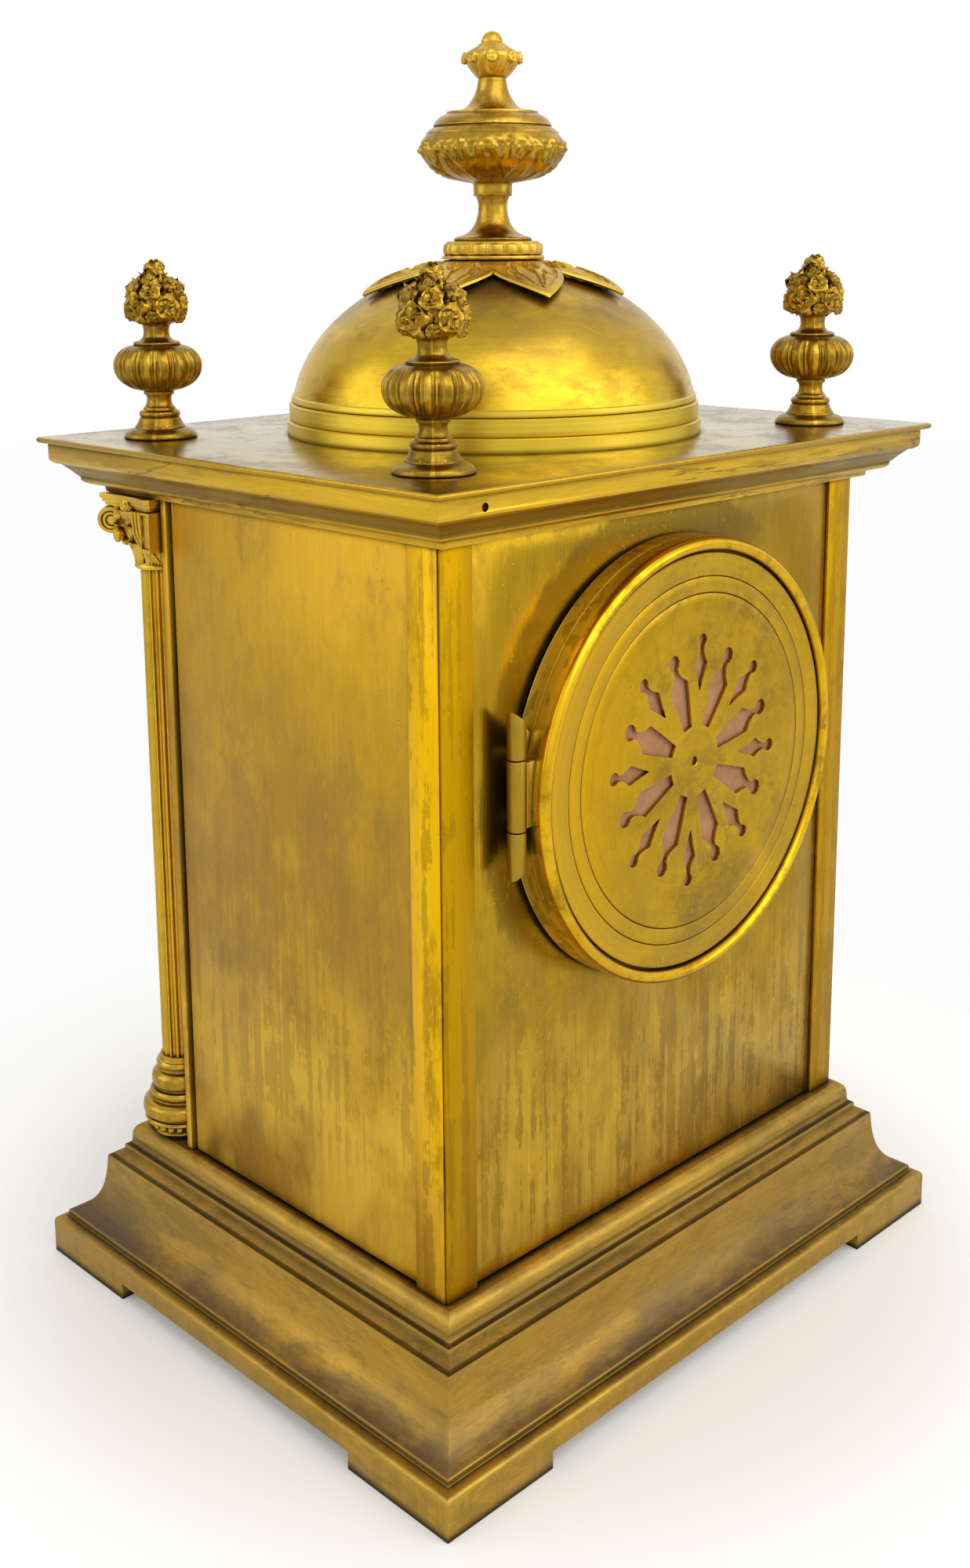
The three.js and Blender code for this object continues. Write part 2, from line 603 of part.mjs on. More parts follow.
/** One pierced ray: a blade with a round head, pointing along a radius. */
function rayPath(bladeShares, [headShare, headRadiusShare], angle, radius) {
  const left = bladeShares.map(([along, half]) => [along * radius, half * radius]);
  const headRadius = headRadiusShare * radius;
  const headAt = headShare * radius;
  const [neckAt, neckHalf] = left[left.length - 1];
  const start = Math.PI - Math.asin(neckHalf / headRadius);
  const head = Array.from({ length: rays.headSides + 1 }, (_, i) => {
    const turn = start - (2 * start * i) / rays.headSides;
    return [Math.max(neckAt, headAt + headRadius * Math.cos(turn)), headRadius * Math.sin(turn)];
  });
  const right = left.map(([along, half]) => [along, -half]).reverse();
  const points = [...left, ...head.slice(1, -1), ...right];
  const [cos, sin] = [Math.cos(angle), Math.sin(angle)];
  return new THREE.Path(points.map(
    ([along, across]) => new THREE.Vector2(along * cos - across * sin, DIAL_HEIGHT + along * sin + across * cos),
  ));
}
{
  const ringBack = panelY + rearRing.depth;
  const axisX = door.radius + doorHinge.offset;
  const doorFront = ringBack + door.gap;
  const axisY = doorFront + CLEARANCE;
  const dialLine = { axis: 'y', at: [0, 0, DIAL_HEIGHT] };
  const seat = turned([
    [rearRing.inner, panelY], [rearRing.outer, panelY], [rearRing.outer, ringBack],
    [rearRing.wallInner, ringBack], [rearRing.wallInner, panelY + rearRing.flange],
    [rearRing.inner, panelY + rearRing.flange], [rearRing.inner, panelY],
  ], dialLine);
  const lowJoint = DIAL_HEIGHT - doorHinge.lowJoint;
  const highJoint = DIAL_HEIGHT + doorHinge.highJoint;
  const fixedSpans = [
    [doorHinge.bottom, lowJoint - CLEARANCE / 2], [highJoint + CLEARANCE / 2, doorHinge.top],
  ];
  const seatKnuckles = knuckles(
    doorHinge, axisX, axisY, fixedSpans, rearRing.wallInner - OVERRUN, panelY + rearRing.flange, ringBack,
  );
  piece('door_seat_ring', joined(seat, ...seatKnuckles), finishes.olive);

  const crest = doorFront + door.depth;
  const discFront = crest - door.discInset;
  const rim = turned([
    [door.inner, doorFront], [door.radius, doorFront],
    [door.radius, crest - door.beadWidth / 2], [door.radius - door.beadWidth / 4, crest - door.beadWidth / 8],
    [door.radius - door.beadWidth / 2, crest], [door.discRadius + CLEARANCE, discFront],
    [door.discRadius + CLEARANCE, discFront - door.discThick - CLEARANCE],
    [door.inner, discFront - door.discThick - CLEARANCE], [door.inner, doorFront],
  ], dialLine);
  const [doorKnuckle] = knuckles(
    doorHinge, axisX, axisY,
    [[lowJoint + CLEARANCE / 2, highJoint - CLEARANCE / 2]],
    door.discRadius, doorFront + CLEARANCE / 2, doorFront + door.depth / 2,
  );
  piece('rear_door_rim', joined(rim, doorKnuckle), finishes.gilt);

  const disc = roundShape(0, DIAL_HEIGHT, door.discRadius, [[0, DIAL_HEIGHT, door.holeRadius]]);
  for (let k = 0; k < rays.count; k += 1) {
    const step = (2 * Math.PI * k) / rays.count;
    const longTurn = step + THREE.MathUtils.degToRad(rays.longTurn);
    const shortTurn = step + THREE.MathUtils.degToRad(rays.shortTurn);
    disc.holes.push(rayPath(rayShares.longBlade, rayShares.longHead, longTurn, door.discRadius));
    disc.holes.push(rayPath(rayShares.shortBlade, rayShares.shortHead, shortTurn, door.discRadius));
  }
  piece('rear_door_disc', upright(disc, discFront - door.discThick, discFront), finishes.olive);

  const clothBack = discFront - door.discThick - CLEARANCE;
  piece('rear_door_cloth', rod(door.clothRadius, clothBack - door.clothThick, clothBack, {
    ...dialLine, sides: 24,
  }), finishes.cloth);
  piece('rear_door_hinge_pin', rod(doorHinge.pin, doorHinge.bottom, doorHinge.top, {
    at: [axisX, axisY, 0], sides: 8,
  }), finishes.steel);
}

// Front: the seat ring, the hinged bezel with its glass, and the dial
const frontRing = { sleeveInner: 45.6, sleeveOuter: 47.2, outer: 56.5, flange: 2.4, sleeveDepth: 14.1 };
const bezel = {
  radius: 57,
  opening: 46.5,
  rebate: 49.4,
  depth: 7,
  gap: 0.3,
  lip: 4.2,
  glassRadius: 49.1,
  glassThick: 1.6,
  glassRise: 2.4,
};
const bezelHinge = { offset: 3, radius: 2.3, pin: 1, bore: 1.3, half: 15, middle: 6 };
const dial = { radius: 45.3, inset: 1.3, thick: 1.5, centreHole: 4, windHole: 4.2, footRadius: 1.2, footReach: 38, feet: 3 };
const plates = {
  frontRadius: 45,
  backRadius: 44,
  thick: 2,
  frontY: -31,
  backY: 3,
  pillar: 2.6,
  pillarReach: 40,
};
const barrel = { teeth: 50, pinion: 10, placeX: 20.6, placeZ: -11.5, drumRadius: 18 };
const winding = { radius: 2, hole: 2.4, square: 3.2, plateHole: 2.5 };
const frontRingFace = walls.frontY - frontRing.flange;
const bezelBack = frontRingFace - bezel.gap;
const bezelFront = bezelBack - bezel.depth;
const dialFront = frontRingFace + dial.inset;
const dialBack = dialFront + dial.thick;
{
  const dialLine = { axis: 'y', at: [0, 0, DIAL_HEIGHT] };
  const axisX = bezel.radius + bezelHinge.offset;
  const axisY = bezelBack;
  const seat = turned([
    [frontRing.sleeveInner, frontRingFace], [frontRing.outer, frontRingFace], [frontRing.outer, walls.frontY],
    [frontRing.sleeveOuter, walls.frontY], [frontRing.sleeveOuter, frontRingFace + frontRing.sleeveDepth + frontRing.flange],
    [frontRing.sleeveInner, frontRingFace + frontRing.sleeveDepth + frontRing.flange], [frontRing.sleeveInner, frontRingFace],
  ], dialLine);
  const low = DIAL_HEIGHT - bezelHinge.half;
  const high = DIAL_HEIGHT + bezelHinge.half;
  const fixedSpans = [
    [low, DIAL_HEIGHT - bezelHinge.middle - CLEARANCE / 2], [DIAL_HEIGHT + bezelHinge.middle + CLEARANCE / 2, high],
  ];
  const seatKnuckles = knuckles(
    bezelHinge, axisX, axisY, fixedSpans, frontRing.outer - 2 * frontRing.flange, frontRingFace, walls.frontY,
  );
  piece('bezel_seat_ring', joined(seat, ...seatKnuckles), finishes.gilt);

  const shoulder = bezelBack - bezel.depth + bezel.lip;
  const bezelRing = turned([
    [bezel.rebate, bezelBack], [bezel.radius, bezelBack], [bezel.radius, bezelBack - bezel.depth / 3],
    [bezel.radius - bezel.depth / 3, bezelFront], [bezel.rebate, bezelFront + bezel.depth / 6],
    [bezel.opening, shoulder - CLEARANCE], [bezel.rebate, shoulder], [bezel.rebate, bezelBack],
  ], dialLine);
  const [middleKnuckle] = knuckles(
    bezelHinge, axisX, axisY,
    [[DIAL_HEIGHT - bezelHinge.middle + CLEARANCE / 2, DIAL_HEIGHT + bezelHinge.middle - CLEARANCE / 2]],
    bezel.radius - 2 * frontRing.flange, bezelBack - bezel.depth / 3, bezelBack - CLEARANCE / 2,
  );
  piece('front_bezel', joined(bezelRing, middleKnuckle), finishes.gilt);

  const rimBack = shoulder + CLEARANCE + bezel.glassThick;
  const rimFront = rimBack - bezel.glassThick;
  piece('bezel_glass', turned([
    [0, rimFront - bezel.glassRise], [bezel.glassRadius / 2, rimFront - bezel.glassRise * 0.8],
    [bezel.opening - OVERRUN, rimFront - CLEARANCE / 2], [bezel.glassRadius, rimFront],
    [bezel.glassRadius, rimBack], [bezel.opening - OVERRUN, rimBack - CLEARANCE / 2],
    [bezel.glassRadius / 2, rimBack - bezel.glassRise * 0.8], [0, rimBack - bezel.glassRise],
  ], { ...dialLine, sides: 24 }), finishes.glass);

  piece('front_bezel_hinge_pin', rod(bezelHinge.pin, low, high, { at: [axisX, axisY, 0], sides: 8 }), finishes.steel);

  const windZ = DIAL_HEIGHT + barrel.placeZ;
  const face = upright(roundShape(0, DIAL_HEIGHT, dial.radius, [
    [0, DIAL_HEIGHT, dial.centreHole],
    [barrel.placeX, windZ, dial.windHole],
    [-barrel.placeX, windZ, dial.windHole],
  ]), dialFront, dialBack);
  const feet = Array.from({ length: dial.feet }, (_, k) => {
    const angle = Math.PI / 2 + (2 * Math.PI * k) / dial.feet;
    const at = [dial.footReach * Math.cos(angle), 0, DIAL_HEIGHT + dial.footReach * Math.sin(angle)];
    return rod(dial.footRadius, dialBack - dial.thick / 2, plates.frontY - CLEARANCE, { axis: 'y', at, sides: 6 });
  });
  piece('dial', joined(face, ...feet), finishes.enamel);
}

// Movement frame: two round plates, pillars, straps, the pendulum's cock
const pendulum = {
  axisRise: 35,
  planeY: 12,
  bobRise: 36,
  bobRadius: 15,
  bobHalfThick: 3.6,
  bobBore: 1.2,
  rodRadius: 0.9,
  springWidth: 3,
  springThick: 0.5,
  springTopRise: 1.7,
  springDrop: 8,
  clampHalf: 2.2,
  clampDrop: 5,
  nutRadius: 3,
  nutHeight: 3,
  rodTail: 7,
};
const pallets = { arbor: 1, hole: 1.8, planeFront: -6, planeBack: -4.8, crutchFront: 7, crutchThick: 1.2, crutchDrop: 30 };
const hammerSpec = { pivotX: -34, pivotZ: 20, arbor: 1.1, hole: 1.8, armY: 9.6, armRadius: 0.9, headRadius: 3, headLength: 6 };
const bellSpec = { radius: 36, drop: 3, mouthY: 20, depth: 22, wall: 1.6, bore: 2, steps: 4 };
const strap = { inner: 47.6, thick: 1.9, halfWidth: 5, earReach: 4, earThick: 2.4 };
const cock = { halfWidth: 6, high: 8, reach: 3 };
const bellStand = { footX: -24, footDrop: 25, radius: 1.8, armY: 17, post: 1.7, footRadius: 4, footThick: 2, tail: 4.5 };
const bellNut = { radius: 4, thick: 2.6, bore: 2 };
const pillarAngles = [40, 140, 250, 290];
/** The three holes that the two plates share names for. */
const windingHoles = [[barrel.placeX, DIAL_HEIGHT + barrel.placeZ], [-barrel.placeX, DIAL_HEIGHT + barrel.placeZ]];
{
  const frontBack = plates.frontY + plates.thick;
  const backBack = plates.backY + plates.thick;
  const centreHole = 1.8;
  piece('movement_front_plate', upright(roundShape(0, DIAL_HEIGHT, plates.frontRadius, [
    [0, DIAL_HEIGHT, centreHole],
    ...windingHoles.map(([x, z]) => [x, z, winding.plateHole]),
  ]), plates.frontY, frontBack), finishes.movement);

  const backPlate = upright(roundShape(0, DIAL_HEIGHT, plates.backRadius, [
    [0, DIAL_HEIGHT + pendulum.axisRise, pallets.hole],
    [hammerSpec.pivotX, DIAL_HEIGHT + hammerSpec.pivotZ, hammerSpec.hole],
  ]), plates.backY, backBack);
  const pillars = pillarAngles.map((degrees) => {
    const angle = THREE.MathUtils.degToRad(degrees);
    const at = [plates.pillarReach * Math.cos(angle), 0, DIAL_HEIGHT + plates.pillarReach * Math.sin(angle)];
    return rod(plates.pillar, frontBack, plates.backY + OVERRUN, { axis: 'y', at });
  });
  piece('movement_back_plate', joined(backPlate, ...pillars), finishes.movement);

  const strapFront = walls.frontY + CLEARANCE;
  const strapBack = panelY - CLEARANCE;
  for (const [side, sign] of [['left', -1], ['right', 1]]) {
    const outer = strap.inner + strap.thick;
    const xs = (near, far) => [Math.min(sign * near, sign * far), Math.max(sign * near, sign * far)];
    const [barLow, barHigh] = xs(strap.inner, outer);
    const [earLow, earHigh] = xs(strap.inner - strap.earReach, outer);
    piece(`movement_strap_${side}`, joined(
      block(
        [barLow, strapFront, DIAL_HEIGHT - strap.halfWidth], [barHigh, strapBack, DIAL_HEIGHT + strap.halfWidth],
      ),
      block(
        [earLow, strapBack - strap.earThick, DIAL_HEIGHT - strap.halfWidth],
        [earHigh, strapBack, DIAL_HEIGHT + strap.halfWidth],
      ),
    ), finishes.movement);
  }

  const cockLow = pendulum.springTopRise + CLEARANCE;
  const pivotZ = DIAL_HEIGHT + pendulum.axisRise;
  piece('suspension_cock', block(
    [-cock.halfWidth, backBack, pivotZ + cockLow],
    [cock.halfWidth, pendulum.planeY + cock.reach, pivotZ + cock.high],
  ), finishes.movement);
}

// Wheels: toothed discs on arbors, laid out on the plates
const arbor = { radius: 1, gap: 0.3 };
const toothShares = { addendum: 0.55, dedendum: 0.85 };
/** Radii of a wheel and a pinion that mesh at a distance. */
function meshRadii(distance, wheelTeeth, pinionTeeth) {
  const module = (2 * distance) / (wheelTeeth + pinionTeeth);
  return { module, wheel: (module * wheelTeeth) / 2, pinion: (module * pinionTeeth) / 2 };
}
/** A toothed disc with pointed teeth; one tooth points along the given angle. */
function toothed(x, z, teeth, pitchRadius, module, tipAngle, front, back) {
  const tip = pitchRadius + module * toothShares.addendum;
  const root = pitchRadius - module * toothShares.dedendum;
  const points = Array.from({ length: 2 * teeth }, (_, i) => {
    const angle = tipAngle + (Math.PI * i) / teeth;
    const reach = i % 2 === 0 ? tip : root;
    return [x + reach * Math.cos(angle), z + reach * Math.sin(angle)];
  });
  return upright(pointShape(points), front, back);
}
/** An arbor along Y. */
const arborRod = (x, z, front, back, radius = arbor.radius) => rod(radius, front, back, { axis: 'y', at: [x, 0, z], sides: 8 });
const polar = ([x, z], distance, angle) => [x + distance * Math.cos(angle), z + distance * Math.sin(angle)];

// Where each wheel lies along Y, from its front face to its back face
const wheelPlaces = {
  goingDrum: { front: -22, back: -7 },
  goingTeeth: { front: -8, back: -6 },
  goingPinion: { front: -9, back: -5 },
  strikeDrum: { front: -21, back: -6 },
  strikeTeeth: { front: -22, back: -20 },
  strikePinion: { front: -23, back: -19 },
  centre: { front: -2.2, back: -1 },
  thirdPinion: { front: -4, back: 0.5 },
  outer: { front: -25.4, back: -24.2 },
  outerPinion: { front: -27, back: -22.8 },
  minuteWheel: { front: -34, back: -32.8 },
  hourWheel: { front: -37, back: -35.8 },
};
const layers = Object.fromEntries(
  Object.entries(wheelPlaces).map(([name, { front, back }]) => [name, [front, back]]),
);
layers.arbor = [plates.frontY + plates.thick + arbor.gap, plates.backY - arbor.gap];
const train = {
  centreTeeth: 45,
  thirdPinion: 6,
  thirdTeeth: 36,
  escapePinion: 6,
  escapeTeeth: 24,
  escapeRadius: 7.2,
  pinTeeth: 36,
  flyPinion: 6,
};
const centreSpot = [0, DIAL_HEIGHT];
const goingSpot = [barrel.placeX, DIAL_HEIGHT + barrel.placeZ];
const strikeSpot = [-barrel.placeX, DIAL_HEIGHT + barrel.placeZ];
const greatDistance = Math.hypot(barrel.placeX, barrel.placeZ);
const spots = { thirdDistance: 18.7, thirdAngle: 55, escapeDistance: 14, pinAngle: 82, flyDistance: 14, flyAngle: 75 };
const angleOf = (from, to) => Math.atan2(to[1] - from[1], to[0] - from[0]);
const thirdSpot = polar(centreSpot, spots.thirdDistance, THREE.MathUtils.degToRad(spots.thirdAngle));
const escapeSpot = [0, thirdSpot[1] + Math.sqrt(spots.escapeDistance ** 2 - thirdSpot[0] ** 2)];
const pinSpot = polar(strikeSpot, greatDistance, THREE.MathUtils.degToRad(spots.pinAngle));
const flySpot = polar(pinSpot, spots.flyDistance, THREE.MathUtils.degToRad(spots.flyAngle));
const great = meshRadii(greatDistance, barrel.teeth, barrel.pinion);
const centre = meshRadii(spots.thirdDistance, train.centreTeeth, train.thirdPinion);
const third = meshRadii(spots.escapeDistance, train.thirdTeeth, train.escapePinion);
const pin = meshRadii(spots.flyDistance, train.pinTeeth, train.flyPinion);

/** A spring barrel with its toothed edge, facing the pinion that it drives. */
function springBarrel(name, spot, target, teethLayer, drumLayer) {
  const tip = angleOf(spot, target);
  const line = { axis: 'y', at: [spot[0], 0, spot[1]] };
  const body = joined(
    toothed(...spot, barrel.teeth, great.wheel, great.module, tip, ...teethLayer),
    rod(barrel.drumRadius, ...drumLayer, { ...line, sides: 24 }),
  );
  const bore = rod(winding.hole, layers.strikeTeeth[0] - OVERRUN, layers.goingTeeth[1] + OVERRUN, line);
  piece(name, body.subtract(bore), finishes.movement);
}
/** A winding arbor with a square end for the key. */
function windingArbor(name, [x, z]) {
  const half = winding.square / 2;
  piece(name, joined(
    arborRod(x, z, plates.frontY + plates.thick / 2, layers.arbor[1], winding.radius),
    block([x - half, dialFront, z - half], [x + half, plates.frontY + plates.thick, z + half]),
  ), finishes.steel);
}
/** A pinion whose gap faces the wheel at the other end of the line of centres. */
function pinion(spot, from, teeth, pitchRadius, module, layer) {
  const tip = angleOf(spot, from) + Math.PI / teeth;
  return toothed(...spot, teeth, pitchRadius, module, tip, ...layer);
}

springBarrel('going_barrel', goingSpot, centreSpot, layers.goingTeeth, layers.goingDrum);
springBarrel('strike_barrel', strikeSpot, pinSpot, layers.strikeTeeth, layers.strikeDrum);
windingArbor('going_winding_arbor', goingSpot);
windingArbor('strike_winding_arbor', strikeSpot);

// Hands and motion work between the front plate and the dial
const motion = {
  cannonTeeth: 10,
  minuteTeeth: 30,
  hourPinion: 6,
  hourTeeth: 24,
  distance: 12,
  cannonBore: 1.5,
  cannonRadius: 2.2,
  hourBore: 2.5,
  hourPipe: 3.3,
  arbor: 1.2,
  stud: 0.9,
};
const hands = {
  hourLength: 25,
  minuteLength: 38,
  thick: 0.6,
  hubRadius: 4.4,
  leafWidth: 2.6,
  hourGap: 0.6,
  minuteGap: 1.8,
};
const handShares = [[0, 0.35], [0.5, 0.35], [0.66, 1], [0.78, 0.35], [1, 0.12]];
/** A spade hand; the angle is clockwise from twelve, seen from the front. */
function handShape(length, angle) {
  const right = handShares.map(([along, half]) => [half * hands.leafWidth, along * length]);
  const left = right.map(([across, along]) => [-across, along]).reverse();
  const [cos, sin] = [Math.cos(angle), Math.sin(angle)];
  return pointShape([...right, ...left].map(
    ([across, along]) => [across * cos + along * sin, DIAL_HEIGHT + along * cos - across * sin],
  ));
}
{
  const minuteFront = dialFront - hands.minuteGap - hands.thick;
  const hourFront = dialFront - hands.hourGap - hands.thick;
  const centreLine = { axis: 'y', at: [0, 0, DIAL_HEIGHT] };
  const cannonMesh = meshRadii(motion.distance, motion.minuteTeeth, motion.cannonTeeth);
  const hourMesh = meshRadii(motion.distance, motion.hourTeeth, motion.hourPinion);
  const minuteSpot = [0, DIAL_HEIGHT - motion.distance];
  const arborFront = minuteFront - hands.thick;

  piece('centre_wheel', joined(
    arborRod(...centreSpot, arborFront, layers.arbor[1], motion.arbor),
    toothed(
      ...centreSpot, train.centreTeeth, centre.wheel, centre.module, angleOf(centreSpot, thirdSpot), ...layers.centre,
    ),
    pinion(centreSpot, goingSpot, barrel.pinion, great.pinion, great.module, layers.goingPinion),
  ), finishes.movement);

  const minuteAngle = THREE.MathUtils.degToRad(60);
  const hourAngle = THREE.MathUtils.degToRad(-55);
  const cannon = joined(
    rod(motion.cannonRadius, minuteFront, layers.minuteWheel[1], centreLine),
    toothed(
      ...centreSpot, motion.cannonTeeth, cannonMesh.pinion, cannonMesh.module, -Math.PI / 2 + Math.PI / motion.cannonTeeth,
      ...layers.minuteWheel,
    ),
    upright(handShape(hands.minuteLength, minuteAngle), minuteFront, minuteFront + hands.thick),
    rod(hands.hubRadius * 0.8, minuteFront, minuteFront + hands.thick, centreLine),
  ).subtract(rod(motion.cannonBore, minuteFront - OVERRUN, layers.minuteWheel[1] + OVERRUN, centreLine));
  piece('minute_hand', cannon, finishes.blued);

  piece('minute_wheel', joined(
    arborRod(...minuteSpot, layers.hourWheel[0] - CLEARANCE, plates.frontY - CLEARANCE, motion.stud),
    toothed(
      ...minuteSpot, motion.minuteTeeth, cannonMesh.wheel, cannonMesh.module, Math.PI / 2, ...layers.minuteWheel,
    ),
    toothed(
      ...minuteSpot, motion.hourPinion, hourMesh.pinion, hourMesh.module, Math.PI / 2 + Math.PI / motion.hourPinion,
      layers.hourWheel[0] - CLEARANCE, layers.minuteWheel[0] + CLEARANCE,
    ),
  ), finishes.movement);

  const hourBody = joined(
    rod(motion.hourPipe, hourFront, layers.hourWheel[1], centreLine),
    toothed(...centreSpot, motion.hourTeeth, hourMesh.wheel, hourMesh.module, -Math.PI / 2, ...layers.hourWheel),
    upright(handShape(hands.hourLength, hourAngle), hourFront, hourFront + hands.thick),
    rod(hands.hubRadius, hourFront, hourFront + hands.thick, centreLine),
  ).subtract(rod(motion.hourBore, hourFront - OVERRUN, layers.hourWheel[1] + OVERRUN, centreLine));
  piece('hour_hand', hourBody, finishes.blued);
}

piece('third_wheel', joined(
  arborRod(...thirdSpot, ...layers.arbor),
  pinion(thirdSpot, centreSpot, train.thirdPinion, centre.pinion, centre.module, layers.thirdPinion),
  toothed(...thirdSpot, train.thirdTeeth, third.wheel, third.module, angleOf(thirdSpot, escapeSpot), ...layers.outer),
), finishes.movement);
const escapeModule = (2 * train.escapeRadius) / train.escapeTeeth;
piece('escape_wheel', joined(
  arborRod(...escapeSpot, ...layers.arbor),
  pinion(escapeSpot, thirdSpot, train.escapePinion, third.pinion, third.module, layers.outerPinion),
  toothed(
    ...escapeSpot, train.escapeTeeth, train.escapeRadius - escapeModule, 2 * escapeModule, 0,
    pallets.planeFront, pallets.planeBack,
  ),
), finishes.movement);

// Strike train: the pin wheel, the fly, the hammer, and the bell on its stand
const flyVane = { half: 6.4, thick: 0.8, front: -19, back: -9 };
piece('pin_wheel', joined(
  arborRod(...pinSpot, ...layers.arbor),
  pinion(pinSpot, strikeSpot, barrel.pinion, great.pinion, great.module, layers.strikePinion),
  toothed(...pinSpot, train.pinTeeth, pin.wheel, pin.module, angleOf(pinSpot, flySpot), ...layers.outer),
), finishes.movement);
piece('fly', joined(
  arborRod(...flySpot, ...layers.arbor),
  pinion(flySpot, pinSpot, train.flyPinion, pin.pinion, pin.module, layers.outerPinion),
  block(
    [flySpot[0] - flyVane.half, flyVane.front, flySpot[1] - flyVane.thick / 2],
    [flySpot[0] + flyVane.half, flyVane.back, flySpot[1] + flyVane.thick / 2],
  ),
), finishes.movement);
{
  const bellZ = DIAL_HEIGHT - bellSpec.drop;
  const bellBack = bellSpec.mouthY + bellSpec.depth;
  const curve = (offset) => Array.from({ length: bellSpec.steps + 1 }, (_, i) => {
    const angle = (Math.PI / 2) * (i / bellSpec.steps);
    const reach = Math.max(bellSpec.bore, (bellSpec.radius - offset) * Math.cos(angle));
    return [reach, bellSpec.mouthY + (bellSpec.depth - offset) * Math.sin(angle)];
  });
  piece('bell', turned([...curve(0), ...curve(bellSpec.wall).reverse(), [bellSpec.radius, bellSpec.mouthY]], {
    axis: 'y', at: [0, 0, bellZ], sides: 26,
  }), finishes.bell);

  const stand = bellStand;
  const plateBack = plates.backY + plates.thick;
  const foot = [stand.footX, plateBack, bellZ - stand.footDrop];
  const elbow = [stand.footX, stand.armY, bellZ - stand.footDrop];
  piece('bell_stand', joined(
    strut(stand.footRadius, foot, [foot[0], plateBack + stand.footThick, foot[2]]),
    strut(stand.radius, foot, [elbow[0], stand.armY + stand.radius, elbow[2]]),
    strut(stand.radius, elbow, [0, stand.armY, bellZ]),
    strut(stand.post, [0, stand.armY - stand.radius, bellZ], [0, bellBack + stand.tail, bellZ]),
  ), finishes.movement);
  const nut = bellNut;
  piece('bell_nut', ring(nut.bore, nut.radius, bellBack + CLEARANCE, bellBack + CLEARANCE + nut.thick, {
    axis: 'y', at: [0, 0, bellZ], sides: 12,
  }), finishes.movement);

  const { pivotX, pivotZ, armY, armRadius, headRadius, headLength } = hammerSpec;
  const pivot = [pivotX, armY, DIAL_HEIGHT + pivotZ];
  const headNear = -bellSpec.radius - 2 * CLEARANCE;
  const headX = headNear - headLength / 2;
  const headY = bellSpec.mouthY + headRadius;
  piece('hammer', joined(
    arborRod(pivotX, DIAL_HEIGHT + pivotZ, layers.arbor[0], armY + armRadius, hammerSpec.arbor),
    strut(armRadius, pivot, [headX, armY, bellZ]),
    strut(armRadius, [headX, armY - armRadius, bellZ], [headX, headY, bellZ]),
    strut(headRadius, [headNear - headLength, headY, bellZ], [headNear, headY, bellZ]),
  ), finishes.steel);
}

// Escapement and pendulum, both on the line of the pallet arbor
const palletShares = [
  [-0.19, 0.16], [0.19, 0.16], [0.78, -0.4], [1, -0.88], [0.9, -0.94], [0.66, -0.48], [0, -0.17],
  [-0.66, -0.48], [-0.9, -0.94], [-1, -0.88], [-0.78, -0.4],
];
const palletReach = 9.6;
{
  const pivotZ = DIAL_HEIGHT + pendulum.axisRise;
  const { planeY, rodRadius, springWidth, springThick } = pendulum;
  const crutchBack = pallets.crutchFront + pallets.crutchThick;
  const crutchHalf = 1.1;
  const forkGap = rodRadius + CLEARANCE;
  const prong = { width: 0.9, height: 3 };
  const crutchLow = pivotZ - pallets.crutchDrop;
  piece('pallet_arbor', joined(
    arborRod(0, pivotZ, layers.arbor[0], crutchBack, pallets.arbor),
    upright(
      pointShape(palletShares.map(([x, z]) => [x * palletReach, pivotZ + z * palletReach])),
      pallets.planeFront, pallets.planeBack,
    ),
    block([-crutchHalf, pallets.crutchFront, crutchLow], [crutchHalf, crutchBack, pivotZ]),
    block([-forkGap - prong.width, pallets.crutchFront, crutchLow], [forkGap + prong.width, crutchBack, crutchLow + prong.height]),
    block([-forkGap - prong.width, pallets.crutchFront, crutchLow], [-forkGap, planeY + rodRadius, crutchLow + prong.height]),
    block([forkGap, pallets.crutchFront, crutchLow], [forkGap + prong.width, planeY + rodRadius, crutchLow + prong.height]),
  ), finishes.steel);

  const bobZ = plinth.height + pendulum.bobRise;
  const rodLow = bobZ - pendulum.bobRadius - pendulum.rodTail;
  const springLow = pivotZ - pendulum.springDrop;
  piece('pendulum_rod', joined(
    block(
      [-springWidth / 2, planeY - springThick / 2, springLow - OVERRUN],
      [springWidth / 2, planeY + springThick / 2, pivotZ + pendulum.springTopRise],
    ),
    block(
      [-pendulum.clampHalf, planeY - springWidth / 2, springLow - pendulum.clampDrop],
      [pendulum.clampHalf, planeY + springWidth / 2, springLow],
    ),
    rod(rodRadius, rodLow, springLow - OVERRUN, { at: [0, planeY, 0], sides: 8 }),
  ), finishes.steel);

  const bobShares = [[0, -1], [0.35, -0.92], [0.7, -0.68], [0.95, -0.25], [1, 0], [0.95, 0.25], [0.7, 0.68], [0.35, 0.92], [0, 1]];
  const bob = turned(scaled(bobShares, pendulum.bobRadius, pendulum.bobHalfThick, planeY), {
    axis: 'y', at: [0, 0, bobZ], sides: 20,
  }).subtract(rod(pendulum.bobBore, bobZ - 2 * pendulum.bobRadius, bobZ + 2 * pendulum.bobRadius, {
    at: [0, planeY, 0], sides: 8,
  }));
  piece('pendulum_bob', bob, finishes.movement);

  const nutTop = bobZ - pendulum.bobRadius + CLEARANCE;
  piece('rating_nut', ring(
    pendulum.bobBore, pendulum.nutRadius, nutTop - pendulum.nutHeight, nutTop, { at: [0, planeY, 0], sides: 14 },
  ), finishes.movement);
}

export default clock;
